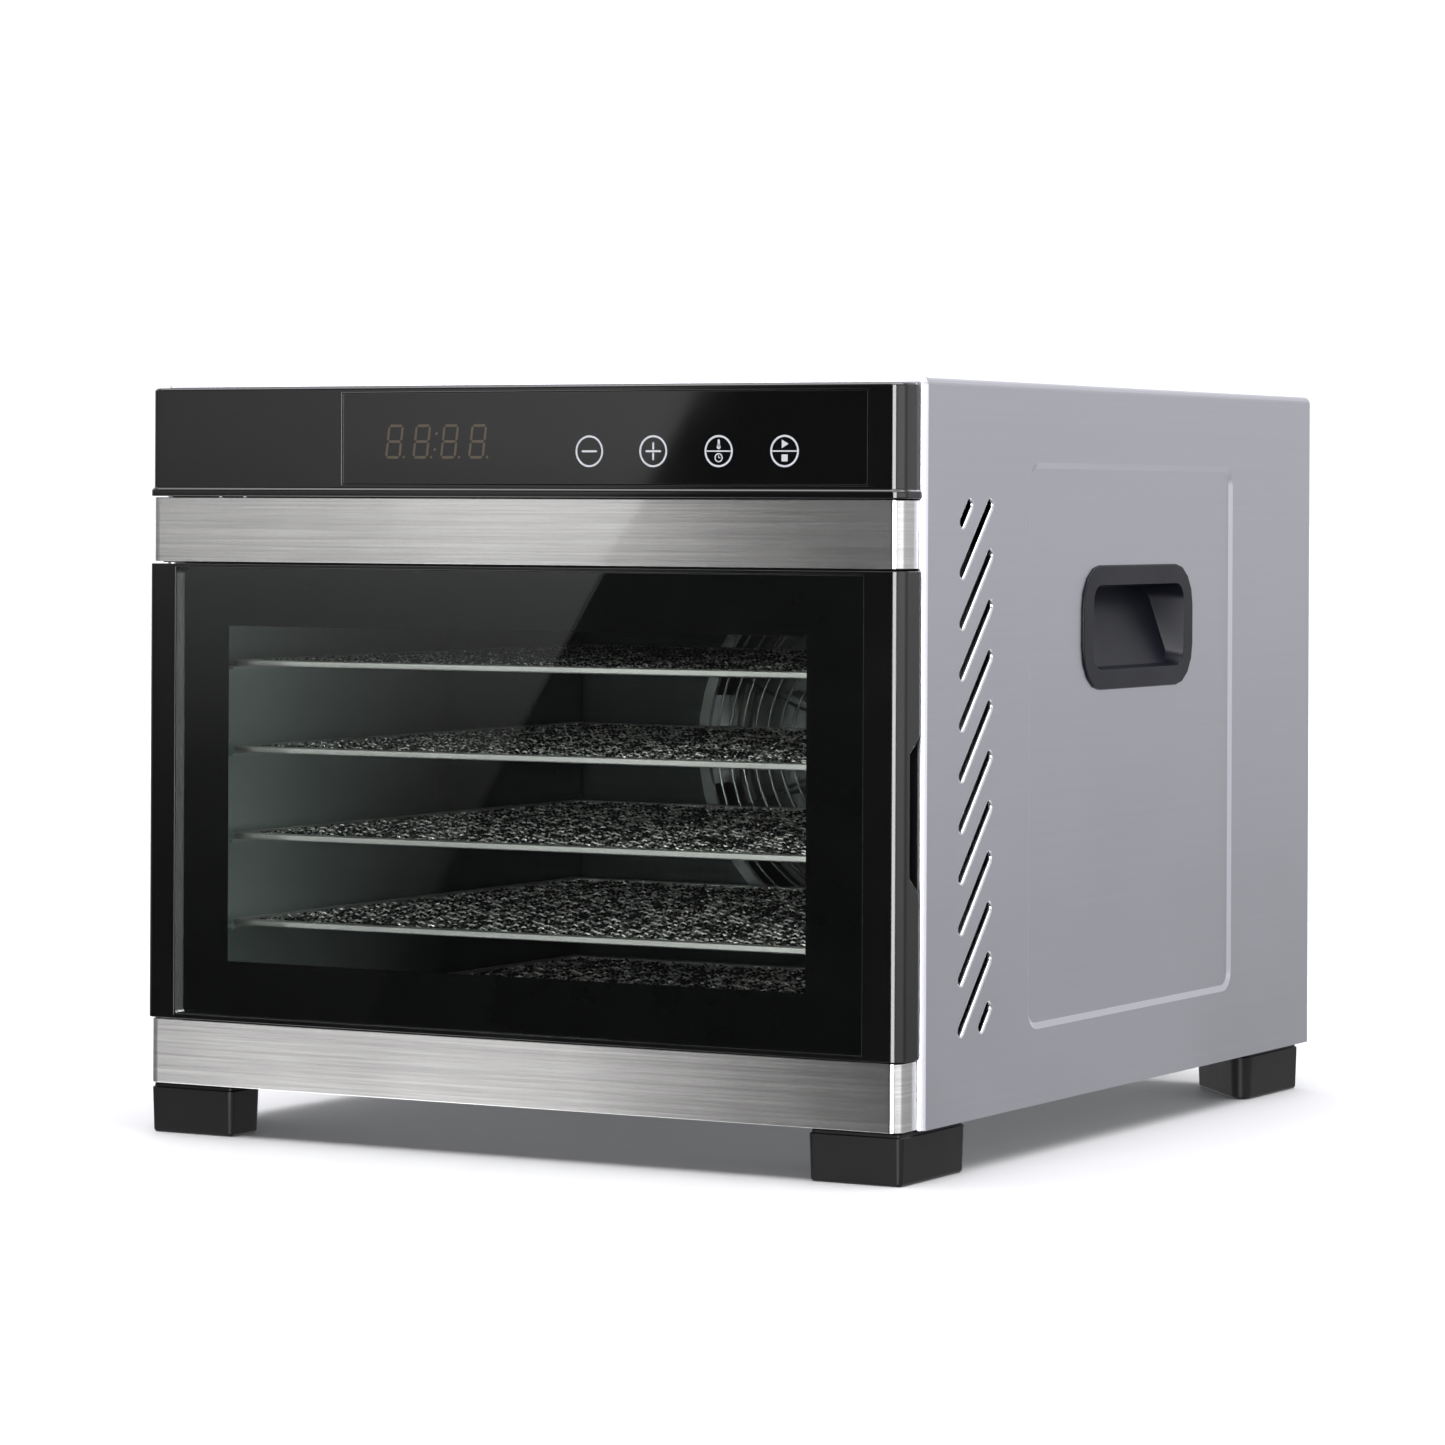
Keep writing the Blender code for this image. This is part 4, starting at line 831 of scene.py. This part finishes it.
def curve_of(tree, value, points, low, high):
    """The value mapped through straight stretches between (position, level) points."""
    ramp = tree.nodes.new("ShaderNodeValToRGB")
    reach = tree.nodes.new("ShaderNodeMapRange")
    reach.inputs["From Min"].default_value, reach.inputs["From Max"].default_value = low, high
    tree.links.new(value, reach.inputs["Value"])
    tree.links.new(reach.outputs["Result"], ramp.inputs["Fac"])
    stops = ramp.color_ramp.elements
    top = max(level for _, level in points)
    for position, _ in points[1:-1]:
        stops.new((position - low) / (high - low))
    for stop, (_, level) in zip(stops, points):
        stop.color = (level / top, level / top, level / top, 1)
    scaled = tree.nodes.new("ShaderNodeMath")
    scaled.operation = "MULTIPLY"
    scaled.inputs[1].default_value = top
    tree.links.new(ramp.outputs["Color"], scaled.inputs[0])
    return scaled.outputs["Value"]


def glowing_card(name, corners, glow):
    """Self-lit card, hidden from the camera; glow is one strength, or points of (height, strength)."""
    bm = bmesh.new()
    bm.faces.new([bm.verts.new(corner) for corner in corners])
    mesh = bpy.data.meshes.new(name)
    bm.to_mesh(mesh)
    bm.free()
    material = bpy.data.materials.new(name)
    material.use_nodes = True
    tree = material.node_tree
    tree.nodes.clear()
    emission = tree.nodes.new("ShaderNodeEmission")
    output = tree.nodes.new("ShaderNodeOutputMaterial")
    tree.links.new(emission.outputs["Emission"], output.inputs["Surface"])
    if isinstance(glow, float):
        emission.inputs["Strength"].default_value = glow
    else:
        coordinates = tree.nodes.new("ShaderNodeTexCoord")
        split = tree.nodes.new("ShaderNodeSeparateXYZ")
        tree.links.new(coordinates.outputs["Object"], split.inputs["Vector"])
        level = curve_of(tree, split.outputs["Z"], glow, glow[0][0], glow[-1][0])
        fade = tree.nodes.new("ShaderNodeMapRange")
        for key, number in CARD_FADE:
            fade.inputs[key].default_value = number
        tree.links.new(split.outputs["X"], fade.inputs["Value"])
        product = tree.nodes.new("ShaderNodeMath")
        product.operation = "MULTIPLY"
        tree.links.new(level, product.inputs[0])
        tree.links.new(fade.outputs["Result"], product.inputs[1])
        tree.links.new(product.outputs["Value"], emission.inputs["Strength"])
    mesh.materials.append(material)
    card = bpy.data.objects.new(name, mesh)
    card.visible_camera = False
    bpy.context.scene.collection.objects.link(card)
    return card


def upright_card(name, turn, half_angle, heights, glow):
    """Upright glowing card, turned by that angle from straight ahead of the door."""
    distance = SOFTBOX_DISTANCE
    turn = math.radians(turn)
    centre = Vector((distance * math.sin(turn), -distance * math.cos(turn), 0))
    side = Vector((math.cos(turn), math.sin(turn), 0)) * (distance * math.tan(math.radians(half_angle)))
    low, high = (Vector((0, 0, height)) for height in heights)
    corners = [centre - side + low, centre + side + low, centre + side + high, centre - side + high]
    return glowing_card(name, corners, glow)


def reflected(x, z, distance):
    """Point at that distance in front of the door which the camera sees mirrored at (x, z)."""
    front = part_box("control_panel")[0].y
    camera = Vector(CAMERA_PLACE)
    mirrored = Vector((camera.x, 2 * front - camera.y, camera.z))
    ray = Vector((x, front, z)) - mirrored
    return mirrored + ray * ((front - distance - mirrored.y) / ray.y)


def make_world():
    """Soft sky over a horizon whose brightness changes with its direction round the object."""
    world = bpy.data.worlds.new("studio")
    bpy.context.scene.world = world
    world.use_nodes = True
    tree = world.node_tree
    coordinates = tree.nodes.new("ShaderNodeTexCoord")
    split = tree.nodes.new("ShaderNodeSeparateXYZ")
    tree.links.new(coordinates.outputs["Generated"], split.inputs["Vector"])
    x, y, z = split.outputs

    def math_node(operation, first, second):
        node = tree.nodes.new("ShaderNodeMath")
        node.operation = operation
        for socket, value in zip(node.inputs, (first, second)):
            if isinstance(value, float):
                socket.default_value = value
            else:
                tree.links.new(value, socket)
        return node.outputs["Value"]

    # A brushed face keeps the sideways part of a direction as it spreads light upright, so the
    # brightness of the sky and the ground depends on that part, and not on the compass direction.
    level_reach = math_node("SQRT", math_node("SUBTRACT", 1.0, math_node("MULTIPLY", x, x)), 0.0)
    ahead = math_node("MAXIMUM", math_node("MINIMUM", math_node("MULTIPLY", y, -4.0), 1.0), -1.0)
    sideways = math_node("ARCTAN2", x, math_node("MULTIPLY", level_reach, ahead))
    compass = math_node("ARCTAN2", x, math_node("MULTIPLY", y, -1.0))
    backgrounds = [tree.nodes["Background"], *(tree.nodes.new("ShaderNodeBackground") for _ in range(3))]
    for background, levels in zip(backgrounds, (HORIZON, SKY, GROUND)):
        points = [(math.radians(angle), level) for angle, level in levels]
        strength = curve_of(tree, compass if levels is HORIZON else sideways, points, -math.pi, math.pi)
        if levels is HORIZON:
            fade = tree.nodes.new("ShaderNodeMapRange")
            for key, number in HORIZON_FADE:
                fade.inputs[key].default_value = number
            tree.links.new(z, fade.inputs["Value"])
            strength = math_node("MULTIPLY", strength, fade.outputs["Result"])
        tree.links.new(strength, background.inputs["Strength"])
    backgrounds[3].inputs["Strength"].default_value = ZENITH
    for background in backgrounds:
        background.inputs["Color"].default_value = WORLD_COLOUR
    mixed = backgrounds[0].outputs["Background"]
    for background, (start, end) in zip(backgrounds[1:], TAKE_OVER):
        rise = tree.nodes.new("ShaderNodeMapRange")
        rise.interpolation_type = "SMOOTHSTEP"
        rise.inputs["From Min"].default_value, rise.inputs["From Max"].default_value = start, end
        tree.links.new(z, rise.inputs["Value"])
        mix = tree.nodes.new("ShaderNodeMixShader")
        tree.links.new(rise.outputs["Result"], mix.inputs["Fac"])
        tree.links.new(mixed, mix.inputs[1])
        tree.links.new(background.outputs["Background"], mix.inputs[2])
        mixed = mix.outputs["Shader"]
    tree.links.new(mixed, tree.nodes["World Output"].inputs["Surface"])


def make_studio():
    """World, floor, a card mirrored in the front as a slanted patch, a corner strip and a key softbox."""
    make_world()
    make_floor()
    slope = (PATCH_UPPER[0] - PATCH_LOWER[0]) / (PATCH_UPPER[1] - PATCH_LOWER[1])

    def diagonal(z):
        return reflected(PATCH_LOWER[0] + slope * (z - PATCH_LOWER[1]), z, CARD_DISTANCE)

    lower, upper = (diagonal(z) for z in CARD_SPAN)
    corners = [upper, lower, (CARD_LEFT, lower.y, lower.z), (CARD_LEFT, upper.y, upper.z)]
    glowing_card("front_card", corners, CARD_GLOW)
    upright_card("corner_strip", 12, 13.0, (-0.7, 2.0), 16.0).visible_diffuse = False
    upright_card("key_softbox", -12, 8.0, (1.9, 2.8), 24.0)
    bpy.context.scene.view_settings.view_transform = "Standard"


edge_glass = moulded("ground_edge", (0.05, 0.055, 0.055), 0.3)
make_trays()
make_door(edge_glass)
make_prints(edge_glass)
make_shell()
make_insides()
make_fittings()
make_camera()
make_studio()
